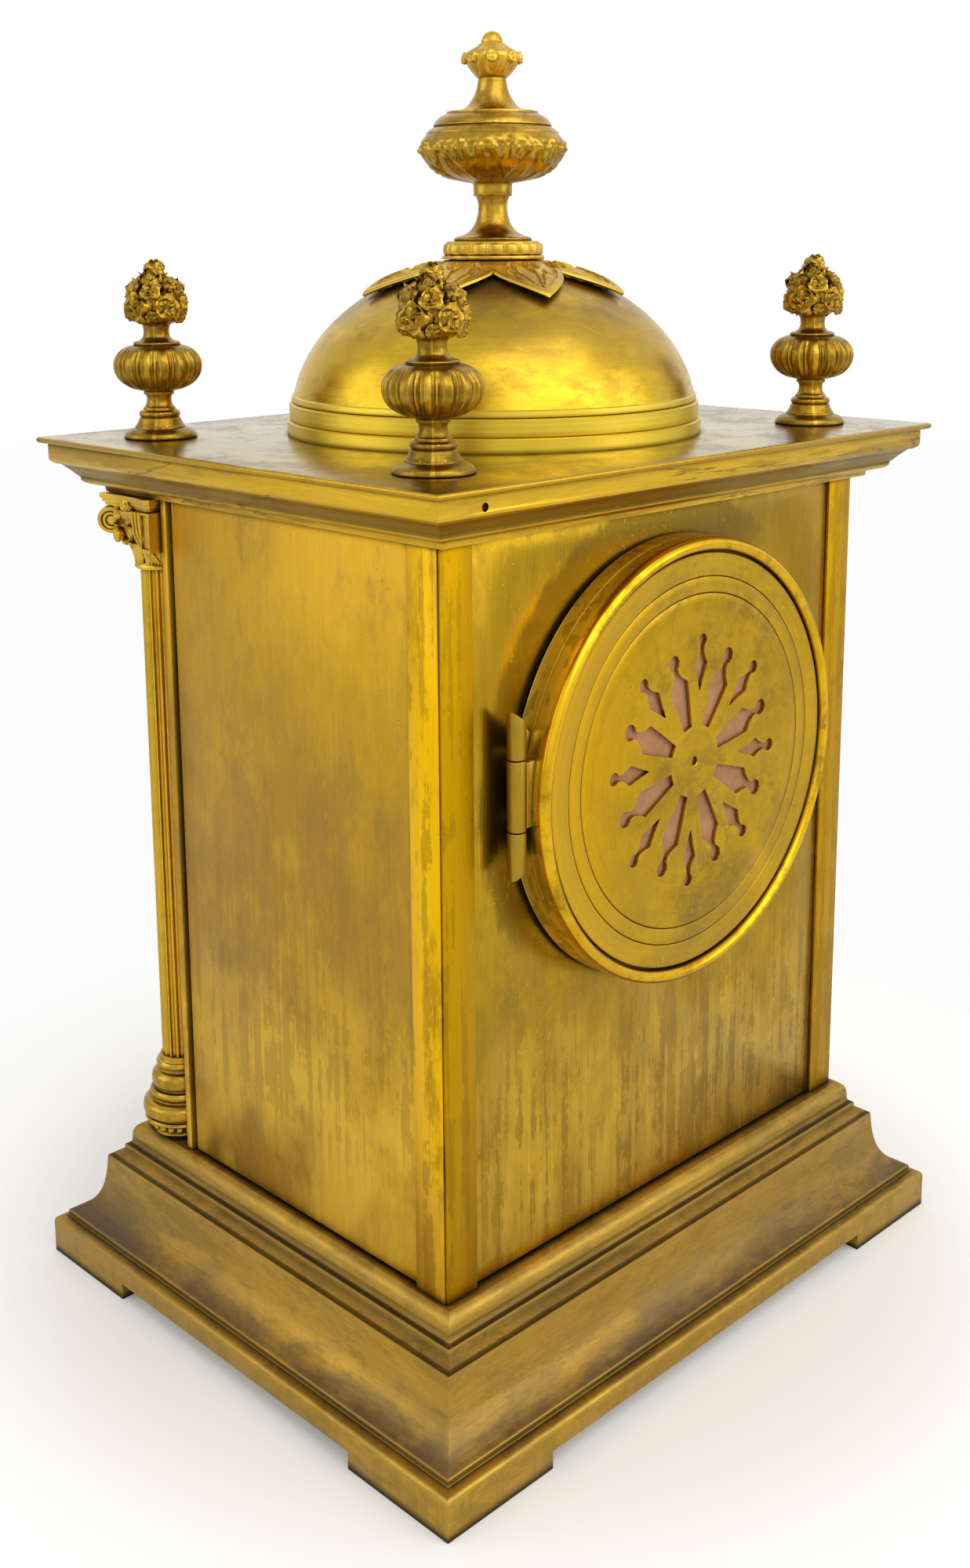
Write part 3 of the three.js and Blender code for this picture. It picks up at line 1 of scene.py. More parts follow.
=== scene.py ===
"""Gilt brass table clock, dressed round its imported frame.

A moulded plinth, a sheet-brass case, two fluted front columns, a cornice with four urn finials, a spun
dome with its tall finial, a pierced round rear door and a striking pendulum movement.

Sub-assembly sizes are in millimetres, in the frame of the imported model: +Z is up, the dial faces -Y,
the pierced door faces +Y. A mesh gets its metres where it is drawn.
"""
from __future__ import annotations

import json
import logging
import math
import random
from contextlib import contextmanager
from dataclasses import dataclass
from enum import Enum
from typing import Callable, Iterator, Sequence

import bmesh
import bpy
from mathutils import Matrix, Vector, noise

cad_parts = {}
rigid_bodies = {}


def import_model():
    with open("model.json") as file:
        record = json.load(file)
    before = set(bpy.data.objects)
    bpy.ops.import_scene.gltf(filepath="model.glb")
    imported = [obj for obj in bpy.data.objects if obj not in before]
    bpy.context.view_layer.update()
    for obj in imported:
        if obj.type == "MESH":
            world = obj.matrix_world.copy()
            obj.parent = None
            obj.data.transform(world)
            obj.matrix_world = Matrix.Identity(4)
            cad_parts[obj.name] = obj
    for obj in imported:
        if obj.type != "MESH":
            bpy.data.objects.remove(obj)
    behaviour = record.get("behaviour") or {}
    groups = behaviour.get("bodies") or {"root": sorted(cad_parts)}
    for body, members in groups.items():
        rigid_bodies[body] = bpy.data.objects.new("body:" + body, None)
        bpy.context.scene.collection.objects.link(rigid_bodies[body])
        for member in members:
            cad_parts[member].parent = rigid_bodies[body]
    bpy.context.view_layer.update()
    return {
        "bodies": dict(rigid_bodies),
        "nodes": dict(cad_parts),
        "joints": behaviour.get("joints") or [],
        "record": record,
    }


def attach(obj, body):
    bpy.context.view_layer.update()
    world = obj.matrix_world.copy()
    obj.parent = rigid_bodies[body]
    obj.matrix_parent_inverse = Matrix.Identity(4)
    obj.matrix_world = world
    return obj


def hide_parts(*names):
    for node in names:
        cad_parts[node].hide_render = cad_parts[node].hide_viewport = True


LOG = logging.getLogger("table_clock")

MM = 0.001
FULL_TURN = 2 * math.pi
WELD = 1e-6
DOOR_HEIGHT = 160.5
DOOR_CENTRE = (0, 0, DOOR_HEIGHT)

Point = tuple[float, float]
Profile = Sequence[Point]
Spot = tuple[float, float, float]
Piece = bpy.types.Object
Material = bpy.types.Material
Node = bpy.types.Node
Socket = bpy.types.NodeSocket
Tree = bpy.types.NodeTree
Link = Socket | float | tuple


class Axis(Enum):
    """The two directions that things are turned or cut along."""

    UP = (0.0, 0.0, 1.0)
    BACK = (0.0, 1.0, 0.0)

    def place(self, across: float, along: float, centre: Spot) -> Vector:
        """Gives a turned profile's point in metres, for a distance from the axis and one along it."""
        return (Vector(centre) + Vector((across, 0, 0)) + Vector(self.value) * along) * MM

    def flat(self, x: float, side: float, along: float) -> Vector:
        """Gives a flat outline's point in metres, at one place along the axis."""
        spot = (x, side, along) if self is Axis.UP else (x, along, side)
        return Vector(spot) * MM


def clear_selection() -> None:
    """Leaves edit mode and deselects every object."""
    if bpy.context.object and bpy.context.object.mode != "OBJECT":
        bpy.ops.object.mode_set(mode="OBJECT")
    bpy.ops.object.select_all(action="DESELECT")


def take(*bodies: Piece) -> None:
    """Selects the given objects alone and makes the first one active."""
    clear_selection()
    for body in bodies:
        body.select_set(True)
    bpy.context.view_layer.objects.active = bodies[0]


def settle(body: Piece, place: Matrix) -> Piece:
    """Puts an object in its place and writes that place into its mesh."""
    take(body)
    body.matrix_world = place
    bpy.ops.object.transform_apply(location=True, rotation=True, scale=True)
    return body


def shifted(x: float, y: float, z: float) -> Matrix:
    """Gives a move in millimetres."""
    return Matrix.Translation(Vector((x, y, z)) * MM)


def turned_by(degrees: float, axis: str) -> Matrix:
    """Gives a turn about one of the axes."""
    return Matrix.Rotation(math.radians(degrees), 4, axis)


def polar(radius: float, angle: float, x: float = 0, y: float = 0) -> Point:
    """Gives the point at a distance and an angle from a centre."""
    return x + radius * math.cos(angle), y + radius * math.sin(angle)


def leave() -> None:
    """Goes back to object mode."""
    bpy.ops.object.mode_set(mode="OBJECT")


def pull(reach: Vector | Spot) -> None:
    """Extrudes what is selected in edit mode."""
    bpy.ops.mesh.extrude_region_move(TRANSFORM_OT_translate={"value": reach})


@contextmanager
def editing(body: Piece, all_selected: bool = True) -> Iterator[None]:
    """Opens edit mode on one object for a while.

    Args:
        body: the object to edit.
        all_selected: whether everything starts selected.
    """
    take(body)
    bpy.ops.object.mode_set(mode="EDIT")
    bpy.ops.mesh.select_mode(type="VERT")
    bpy.ops.mesh.select_all(action="SELECT" if all_selected else "DESELECT")
    yield
    leave()


def pick(body: Piece, kind: str, test: Callable[[object], bool]) -> None:
    """Selects the parts of a mesh in edit mode that pass a test.

    Args:
        body: the object in edit mode.
        kind: VERT, EDGE or FACE.
        test: says whether a bmesh vertex, edge or face is wanted.
    """
    bpy.ops.mesh.select_mode(type=kind)
    bpy.ops.mesh.select_all(action="DESELECT")
    mesh = bmesh.from_edit_mesh(body.data)
    parts = {"VERT": mesh.verts, "EDGE": mesh.edges, "FACE": mesh.faces}[kind]
    for part in [part for part in parts if test(part)]:
        part.select_set(True)
    mesh.select_flush_mode()
    bmesh.update_edit_mesh(body.data)


def fresh(name: str) -> Piece:
    """Names the object that an operator has just added."""
    body = bpy.context.object
    body.name = name
    body.data.name = name
    return body


def draw_line(name: str, points: Sequence[Vector], closed: bool = False) -> Piece:
    """Draws a chain of edges, one extrusion at a time, and stays in edit mode.

    Args:
        name: the new object's name.
        points: corners in metres.
        closed: whether the last corner joins the first.

    Returns:
        The object, in edit mode, with its whole line selected.
    """
    clear_selection()
    bpy.ops.mesh.primitive_plane_add(size=MM, enter_editmode=True)
    body = fresh(name)
    bpy.ops.mesh.select_mode(type="VERT")
    bpy.ops.mesh.select_all(action="SELECT")
    bpy.ops.mesh.merge(type="CENTER")
    bpy.ops.transform.translate(value=points[0])
    way = [*points, points[0]] if closed else points
    for before, after in zip(way, way[1:]):
        pull(after - before)
    bpy.ops.mesh.select_all(action="SELECT")
    bpy.ops.mesh.remove_doubles(threshold=WELD)
    return body


def face_out() -> None:
    """Welds what touches and turns every face out, in edit mode."""
    bpy.ops.mesh.select_all(action="SELECT")
    bpy.ops.mesh.remove_doubles(threshold=WELD)
    bpy.ops.mesh.normals_make_consistent(inside=False)


def turned(
    name: str, profile: Profile, steps: int = 96, centre: Spot = (0, 0, 0), axis: Axis = Axis.UP
) -> Piece:
    """Spins a profile round an axis, as on a lathe.

    Args:
        name: the new object's name.
        profile: points of radius and place along the axis. One that ends where it starts makes a ring.
        steps: how many facets go round.
        centre: a point on the axis.
        axis: the direction of the axis.

    Returns:
        The turned object.
    """
    points = [axis.place(radius, along, centre) for radius, along in profile]
    body = draw_line(name, points)
    bpy.ops.mesh.spin(steps=steps, angle=FULL_TURN, center=Vector(centre) * MM, axis=axis.value)
    face_out()
    leave()
    return body


def prism(name: str, outline: Profile, low: float, high: float, axis: Axis = Axis.UP) -> Piece:
    """Gives a flat outline a thickness along an axis.

    Args:
        name: the new object's name.
        outline: corners across the axis, in order.
        low: where the solid starts along the axis.
        high: where it ends.
        axis: the direction of the thickness.

    Returns:
        The new object.
    """
    body = draw_line(name, [axis.flat(x, side, low) for x, side in outline], closed=True)
    bpy.ops.mesh.edge_face_add()
    pull(Vector(axis.value) * (high - low) * MM)
    face_out()
    leave()
    return body


def slab(name: str, low: Spot, high: Spot) -> Piece:
    """Draws a block between two corners, as a start to shape further."""
    clear_selection()
    bpy.ops.mesh.primitive_cube_add(size=1, enter_editmode=True)
    body = fresh(name)
    size = [(far - near) * MM for near, far in zip(low, high)]
    middle = [(far + near) / 2 * MM for near, far in zip(low, high)]
    bpy.ops.transform.resize(value=size)
    bpy.ops.transform.translate(value=middle)
    leave()
    return body


def ball(name: str, radius: float, centre: Spot, segments: int = 16, rings: int = 10) -> Piece:
    """Draws a ball of millimetre radius whose place is in its mesh."""
    clear_selection()
    bpy.ops.mesh.primitive_uv_sphere_add(
        segments=segments, ring_count=rings, radius=radius * MM, enter_editmode=True
    )
    body = fresh(name)
    bpy.ops.transform.translate(value=Vector(centre) * MM)
    leave()
    return body


def wire(points: Sequence[Vector], radius: float) -> Piece:
    """Draws a round wire through points in metres."""
    draw_line("wire", points)
    leave()
    bpy.ops.object.convert(target="CURVE")
    curve = bpy.context.object.data
    curve.bevel_depth = radius * MM
    curve.bevel_resolution = 2
    bpy.ops.object.convert(target="MESH")
    return bpy.context.object


def moulding(name: str, half_width: float, half_depth: float, profile: Profile) -> Piece:
    """Draws a moulding that is mitred round a rectangle, one extrusion for each step of its profile.

    Args:
        name: the new object's name.
        half_width: half of the rectangle along X.
        half_depth: half of the rectangle along Y.
        profile: points of inset from the rectangle and height, from one end to the other.

    Returns:
        The moulding, closed at both ends.
    """
    clear_selection()
    bpy.ops.mesh.primitive_plane_add(size=2, enter_editmode=True)
    body = fresh(name)
    inset, height = profile[0]
    bpy.ops.transform.resize(value=((half_width - inset) * MM, (half_depth - inset) * MM, 1))
    bpy.ops.transform.translate(value=(0, 0, height * MM))
    for (inset, height), (next_inset, next_height) in zip(profile, profile[1:]):
        pull((0, 0, (next_height - height) * MM))
        scale_x = (half_width - next_inset) / (half_width - inset)
        scale_y = (half_depth - next_inset) / (half_depth - inset)
        bpy.ops.transform.resize(value=(scale_x, scale_y, 1), center_override=(0, 0, next_height * MM))
    face_out()
    leave()
    return body


def apply_modifiers(body: Piece) -> None:
    """Applies every modifier of an object, in order."""
    take(body)
    for modifier in list(body.modifiers):
        bpy.ops.object.modifier_apply(modifier=modifier.name)


def soften(body: Piece, width: float, segments: int = 2, angle: float = 30) -> None:
    """Rounds the sharp edges of an object.

    Args:
        body: the object.
        width: how wide the rounding is.
        segments: how many facets the rounding has.
        angle: edges sharper than this many degrees are rounded.
    """
    bevel = body.modifiers.new("softened edges", "BEVEL")
    bevel.width = width * MM
    bevel.segments = segments
    bevel.limit_method = "ANGLE"
    bevel.angle_limit = math.radians(angle)
    apply_modifiers(body)


def cut(body: Piece, *cutters: Piece) -> None:
    """Cuts other objects out of an object and removes them."""
    for cutter in cutters:
        hollow = body.modifiers.new("cut", "BOOLEAN")
        hollow.operation = "DIFFERENCE"
        hollow.solver = "EXACT"
        hollow.object = cutter
        apply_modifiers(body)
        bpy.data.objects.remove(cutter)


def merge(*bodies: Piece) -> Piece:
    """Joins objects into the first one."""
    if len(bodies) > 1:
        take(*bodies)
        bpy.ops.object.join()
    return bodies[0]


def copied(body: Piece, name: str, place: Matrix) -> Piece:
    """Copies an object with its own mesh and puts the copy elsewhere.

    Args:
        body: what is copied.
        name: the copy's name.
        place: where it goes, in metres.

    Returns:
        The copy, with its place in its mesh.
    """
    take(body)
    bpy.ops.object.duplicate()
    return settle(fresh(name), place)


def repeated(body: Piece, count: int, centre: Spot, axis: Axis = Axis.UP) -> None:
    """Repeats a mesh round an axis by spinning duplicates of it."""
    with editing(body):
        angle = FULL_TURN * (count - 1) / count
        bpy.ops.mesh.spin(
            steps=count - 1, angle=angle, dupli=True, center=Vector(centre) * MM, axis=axis.value
        )


def sculpt(body: Piece, move: Callable[[Vector], Vector]) -> None:
    """Moves each point of a mesh, in millimetres, as a carver does by hand."""
    for vertex in body.data.vertices:
        vertex.co = move(vertex.co / MM) * MM
    body.data.update()


def sheet_grid(name: str, across: int, along: int, place: Callable[[float, float], Spot]) -> Piece:
    """Draws a grid and lays it on a surface.

    Args:
        name: the new object's name.
        across: cells in the first direction.
        along: cells in the second direction.
        place: gives a point in millimetres for two numbers from 0 to 1.

    Returns:
        The open sheet.
    """
    clear_selection()
    bpy.ops.mesh.primitive_grid_add(x_subdivisions=across, y_subdivisions=along, size=2 * MM)
    body = fresh(name)
    sculpt(body, lambda spot: Vector(place((spot.x + 1) / 2, (spot.y + 1) / 2)))
    return body


def thicken(body: Piece, thickness: float, offset: float = -1) -> None:
    """Gives a sheet a thickness."""
    wall = body.modifiers.new("wall", "SOLIDIFY")
    wall.thickness = thickness * MM
    wall.offset = offset
    wall.use_even_offset = True
    apply_modifiers(body)
    with editing(body):
        bpy.ops.mesh.normals_make_consistent(inside=False)


def smooth_line(points: Profile, pieces: int = 6) -> list[Point]:
    """Rounds a profile. A point that is given twice stays a corner.

    Args:
        points: the profile's points.
        pieces: how many parts each rounded stretch is divided into.

    Returns:
        The finer profile.
    """
    runs: list[list[Vector]] = [[Vector(points[0])]]
    for before, after in zip(points, points[1:]):
        if before == after:
            runs.append([Vector(after)])
        else:
            runs[-1].append(Vector(after))
    line = [tuple(points[0])]
    for run in runs:
        if len(run) < 3:
            line += [tuple(spot) for spot in run[1:]]
            continue
        padded = [run[0] * 2 - run[1], *run, run[-1] * 2 - run[-2]]
        for a, b, c, d in zip(padded, padded[1:], padded[2:], padded[3:]):
            for step in range(1, pieces + 1):
                t = step / pieces
                spot = b * 2 + (c - a) * t + (a * 2 - b * 5 + c * 4 - d) * t**2
                spot += (b * 3 - a - c * 3 + d) * t**3
                line.append(tuple(spot / 2))
    return line


def trace(pairs: str, pieces: int = 0, start: float = 0) -> list[Point]:
    """Reads a profile that is written as pairs of numbers, and rounds it.

    Args:
        pairs: radius and place of each point, such as "0,0 8.4,0! 8.5,0.7", with a mark after a corner.
        pieces: how many parts each rounded stretch is divided into. At 0 the points stay as they are.
        start: where the profile's zero lies along its axis.

    Returns:
        The profile.
    """
    points: list[Point] = []
    for pair in pairs.split():
        across, along = (float(number) for number in pair.rstrip("!").split(","))
        points += [(across, along + start)] * (1 + pair.endswith("!"))
    return smooth_line(points, pieces) if pieces else points


def around(spot: Vector, count: int) -> float:
    """Gives how far round the upright middle line a point is, in parts of a full turn."""
    return math.atan2(spot.y, spot.x) / FULL_TURN * count


def drawn_in(spot: Vector, share: float) -> Vector:
    """Moves a point to a share of its distance from the upright middle line."""
    return Vector((spot.x * share, spot.y * share, spot.z))


def bump(value: float) -> float:
    """Gives a smooth hump: 1 at 0, 0 at -1 and 1, and 0 beyond."""
    return max(0.0, 1 - value * value) ** 2


def ease(value: float) -> float:
    """Goes smoothly from 0 at 0 to 1 at 1."""
    inside = min(1.0, max(0.0, value))
    return inside * inside * (3 - 2 * inside)


def paint(shade: str) -> tuple[float, float, float, float]:
    """Turns a hex shade into the linear colour that a shader takes."""
    parts = [int(shade[i : i + 2], 16) / 255 for i in (0, 2, 4)]
    linear = [part / 12.92 if part <= 0.04045 else ((part + 0.055) / 1.055) ** 2.4 for part in parts]
    return (*linear, 1.0)


class Board:
    """Places and wires nodes in one tree."""

    def __init__(self, tree: Tree) -> None:
        """Starts with an empty tree."""
        self.tree = tree
        tree.nodes.clear()

    def add(self, kind: str, given: dict[str | int, Link] | None = None, **settings: object) -> Node:
        """Adds a node, sets its properties and feeds its inputs by name or number."""
        node = self.tree.nodes.new(kind)
        node.location = (len(self.tree.nodes) % 8 * 190, -(len(self.tree.nodes) // 8) * 260)
        for key, value in settings.items():
            setattr(node, key, value)
        for key, value in (given or {}).items():
            self.feed(node.inputs[key], value)
        return node

    def feed(self, socket: Socket, value: Link) -> None:
        """Wires or sets an input."""
        if isinstance(value, Socket):
            self.tree.links.new(value, socket)
        else:
            socket.default_value = value

    def calc(self, how: str, first: Link, second: Link = 0.0, clamp: bool = False) -> Socket:
        """Does arithmetic on two values."""
        given = {0: first, 1: second}
        return self.add("ShaderNodeMath", given, operation=how, use_clamp=clamp).outputs[0]

    def times(self, first: Link, second: Link) -> Socket:
        """Multiplies two values."""
        return self.calc("MULTIPLY", first, second)

    def plus(self, first: Link, second: Link, clamp: bool = False) -> Socket:
        """Adds two values."""
        return self.calc("ADD", first, second, clamp)

    def less(self, first: Link, second: Link, clamp: bool = False) -> Socket:
        """Takes the second value from the first."""
        return self.calc("SUBTRACT", first, second, clamp)

    def spread(self, value: Link, low: Link, high: Link, to_low: float = 0.0, to_high: float = 1.0) -> Socket:
        """Maps a range of values smoothly on to another."""
        given = dict(enumerate((value, low, high, to_low, to_high)))
        return self.add("ShaderNodeMapRange", given, interpolation_type="SMOOTHSTEP").outputs[0]

    def blend(self, factor: Link, first: Link, second: Link, how: str = "MIX") -> Socket:
        """Mixes two colours."""
        given = {0: factor, 6: first, 7: second}
        node = self.add("ShaderNodeMix", given, data_type="RGBA", blend_type=how, clamp_factor=True)
        return node.outputs[2]

    def noise(
        self, vector: Link, scale: Link, detail: float = 4, rough: float = 0.5, twist: float = 0
    ) -> Socket:
        """Gives cloudy noise from 0 to 1."""
        given = {"Vector": vector, "Scale": scale, "Detail": detail, "Roughness": rough, "Distortion": twist}
        return self.add("ShaderNodeTexNoise", given).outputs["Fac"]

    def stretch(self, vector: Link, scale: Link, shift: Spot = (0, 0, 0)) -> Socket:
        """Scales a pattern's coordinates."""
        given = {"Vector": vector, "Scale": scale, "Location": shift}
        return self.add("ShaderNodeMapping", given).outputs[0]

    def split(self, vector: Link) -> tuple[Socket, ...]:
        """Takes a vector apart."""
        return tuple(self.add("ShaderNodeSeparateXYZ", {0: vector}).outputs)

    def relief(self, height: Link, depth: float, below: Link | None = None) -> Socket:
        """Gives a bumped normal of a depth in millimetres, on top of another one."""
        given = {"Strength": 1.0, "Distance": depth * MM, "Height": height}
        if below is not None:
            given["Normal"] = below
        return self.add("ShaderNodeBump", given).outputs[0]

    def group(self, tree: Tree, **values: Link) -> Node:
        """Places a node group and feeds its inputs."""
        return self.add("ShaderNodeGroup", values, node_tree=tree)


class Effects:
    """Node groups that several finishes share."""

    def __init__(self) -> None:
        """Builds each group once."""
        self.patches = self._patches()
        self.streaks = self._streaks()
        self.turning = self._turning()
        self.recess = self._recess()
        self.pits = self._pits()
        self.scratches = self._scratches()

    @staticmethod
    def _open(
        name: str, inputs: dict[str, object], outputs: Sequence[str]
    ) -> tuple[Board, dict[str, Socket], dict[str, Socket]]:
        """Starts a group.

        Args:
            name: the group's name.
            inputs: each input's name and its value, or None for a vector.
            outputs: the names of the value outputs.

        Returns:
            The board, what the group is given, and what it gives out, by name.
        """
        tree = bpy.data.node_groups.new(name, "ShaderNodeTree")
        for key, value in inputs.items():
            kind = "NodeSocketVector" if value is None else "NodeSocketFloat"
            socket = tree.interface.new_socket(key, in_out="INPUT", socket_type=kind)
            if value is not None:
                socket.default_value = value
        for key in outputs:
            tree.interface.new_socket(key, in_out="OUTPUT", socket_type="NodeSocketFloat")
        board = Board(tree)
        return board, board.add("NodeGroupInput").outputs, board.add("NodeGroupOutput").inputs

    def _patches(self) -> Tree:
        """Cloudy stains of two sizes, and the thin dark outline that a dried stain leaves."""
        board, given, out = self._open(
            "Stain Patches", {"Vector": None, "Scale": 30.0, "Edge": 0.12, "Level": 0.5}, ["Mask", "Outline"]
        )
        broad = board.noise(given["Vector"], given["Scale"], 7, 0.64, 0.5)
        fine_scale = board.times(given["Scale"], 5.6)
        fine = board.noise(given["Vector"], fine_scale, 6, 0.68, 0.2)
        both = board.plus(board.times(broad, 0.66), board.times(fine, 0.34))
        low = board.less(given["Level"], given["Edge"])
        high = board.plus(given["Level"], given["Edge"])
        board.feed(out["Mask"], board.spread(both, low, high))
        away = board.calc("ABSOLUTE", board.less(broad, given["Level"]))
        board.feed(out["Outline"], board.spread(away, 0.0, 0.012, 1.0, 0.0))
        return board.tree

    def _streaks(self) -> Tree:
        """Runs that hang down a wall, and fine lines of the rolling in the sheet."""
        board, given, out = self._open(
            "Vertical Streaks", {"Vector": None, "Width": 260.0, "Level": 0.52}, ["Runs", "Lines"]
        )
        tall = board.stretch(given["Vector"], (1, 1, 0.07))
        runs = board.times(board.noise(tall, given["Width"], 5, 0.62), 0.5)
        upright = board.stretch(given["Vector"], (1, 1, 0.004))
        column = board.times(board.noise(upright, given["Width"], 2, 0.5), 0.5)
        worn = board.less(board.noise(given["Vector"], 95.0, 7, 0.7), 0.5)
        ragged = board.plus(board.plus(runs, column), board.times(worn, 0.5))
        high = board.plus(given["Level"], 0.032)
        board.feed(out["Runs"], board.spread(ragged, given["Level"], high))
        hair = board.stretch(given["Vector"], (1, 1, 0.02))
        thin = board.times(board.noise(hair, 1900.0, 3, 0.65), 0.8)
        wide = board.times(board.noise(hair, 300.0, 3, 0.6), 0.2)
        board.feed(out["Lines"], board.plus(thin, wide))
        return board.tree

    def _turning(self) -> Tree:
        """Fine rings that a lathe or a buff leaves. X and Y of the vector are radius and place."""
        inputs = {"Radius": 0.0, "Place": 0.0, "Fineness": 900.0}
        board, given, out = self._open("Turning Marks", inputs, ["Rings"])
        join = board.add("ShaderNodeCombineXYZ", {0: given["Radius"], 1: given["Place"]})
        board.feed(out["Rings"], board.noise(join.outputs[0], given["Fineness"], 3, 0.65))
        return board.tree

    def _recess(self) -> Tree:
        """Dirt and painted shade in hollows, from ambient occlusion, and bare metal on ridges."""
        board, given, out = self._open("Recess And Ridge", {"Reach": 0.003, "Bite": 0.55}, ["Dirt", "Ridge"])
        reach = {"Distance": given["Reach"]}
        shade = board.add("ShaderNodeAmbientOcclusion", reach, samples=5, only_local=False)
        top = board.plus(given["Bite"], 0.4)
        open_air = board.spread(shade.outputs["AO"], given["Bite"], top)
        board.feed(out["Dirt"], board.less(1.0, open_air, clamp=True))
        place = board.add("ShaderNodeNewGeometry")
        board.feed(out["Ridge"], board.spread(place.outputs["Pointiness"], 0.505, 0.56))
        return board.tree

    def _pits(self) -> Tree:
        """Small dark specks and casting pits."""
        board, given, out = self._open("Specks", {"Vector": None, "Scale": 420.0, "Share": 0.18}, ["Specks"])
        pattern = {"Vector": given["Vector"], "Scale": given["Scale"]}
        cells = board.add("ShaderNodeTexVoronoi", pattern, feature="F1")
        where = board.noise(given["Vector"], 55.0, 3, 0.6)
        reach = board.times(given["Share"], board.spread(where, 0.5, 0.68))
        board.feed(out["Specks"], board.spread(cells.outputs["Distance"], reach, 0.0))
        return board.tree

    def _scratches(self) -> Tree:
        """Pale hairlines that handling leaves, in two directions."""
        board, given, out = self._open("Fine Scratches", {"Vector": None, "Fineness": 1200.0}, ["Scratches"])
        where = board.spread(board.noise(given["Vector"], 42.0, 2), 0.42, 0.6)
        lines = []
        for turn in ((0.25, 0.2, 0), (-0.9, -0.8, 0.4)):
            way = {"Vector": given["Vector"], "Rotation": turn}
            turned_round = board.add("ShaderNodeVectorRotate", way, rotation_type="EULER_XYZ")
            drawn = board.stretch(turned_round.outputs[0], (1, 1, 0.03))
            lines.append(board.spread(board.noise(drawn, given["Fineness"], 1, 0.4), 0.68, 0.74))
        board.feed(out["Scratches"], board.times(board.calc("MAXIMUM", *lines), where))
        return board.tree


class Grain(Enum):
    """How the metal was worked, which sets the direction of its fine marks."""

    SHEET = "rolled, with marks that run up and down"
    RUN = "drawn or filed along its length"
    DOME = "turned about the clock's upright middle line"
    DOOR = "turned about the door's own middle"
    CAST = "cast, with a fine sandy skin"


class Cover(Enum):
    """How a veil lies on the metal."""

    CLOUD = "in clouds"
    RUNS = "in runs that hang down"
    PLAIN = "all over"
    # Painted shade: the rear door drum's shadow and reflection on the back sheet.
    HALO = "in a frayed ring round the rear door, on the hinge's side"


@dataclass(frozen=True)
class Veil:
    """A tint that lies over part of the piece.

    The two pairs are places in metres along the axis, which is the height unless it says otherwise: where
    the veil begins and is full, and where it starts to fade and is gone. The drum shade's are distances
    from the middle of the door.
    """

    shade: str
    share: float
    rise: Point = (-1.0, -0.9)
    fall: Point = (9.0, 9.1)
    cover: Cover = Cover.CLOUD
    axis: int = 2


def start_material(name: str) -> tuple[Material, Board, Node]:
    """Starts a material.

    Args:
        name: the material's name.

    Returns:
        The material, its board and its shader, which is wired to the output.
    """
    material = bpy.data.materials.new(name)
    material.use_nodes = True
    board = Board(material.node_tree)
    shader = board.add("ShaderNodeBsdfPrincipled")
    board.add("ShaderNodeOutputMaterial", {"Surface": shader.outputs[0]})
    return material, board, shader


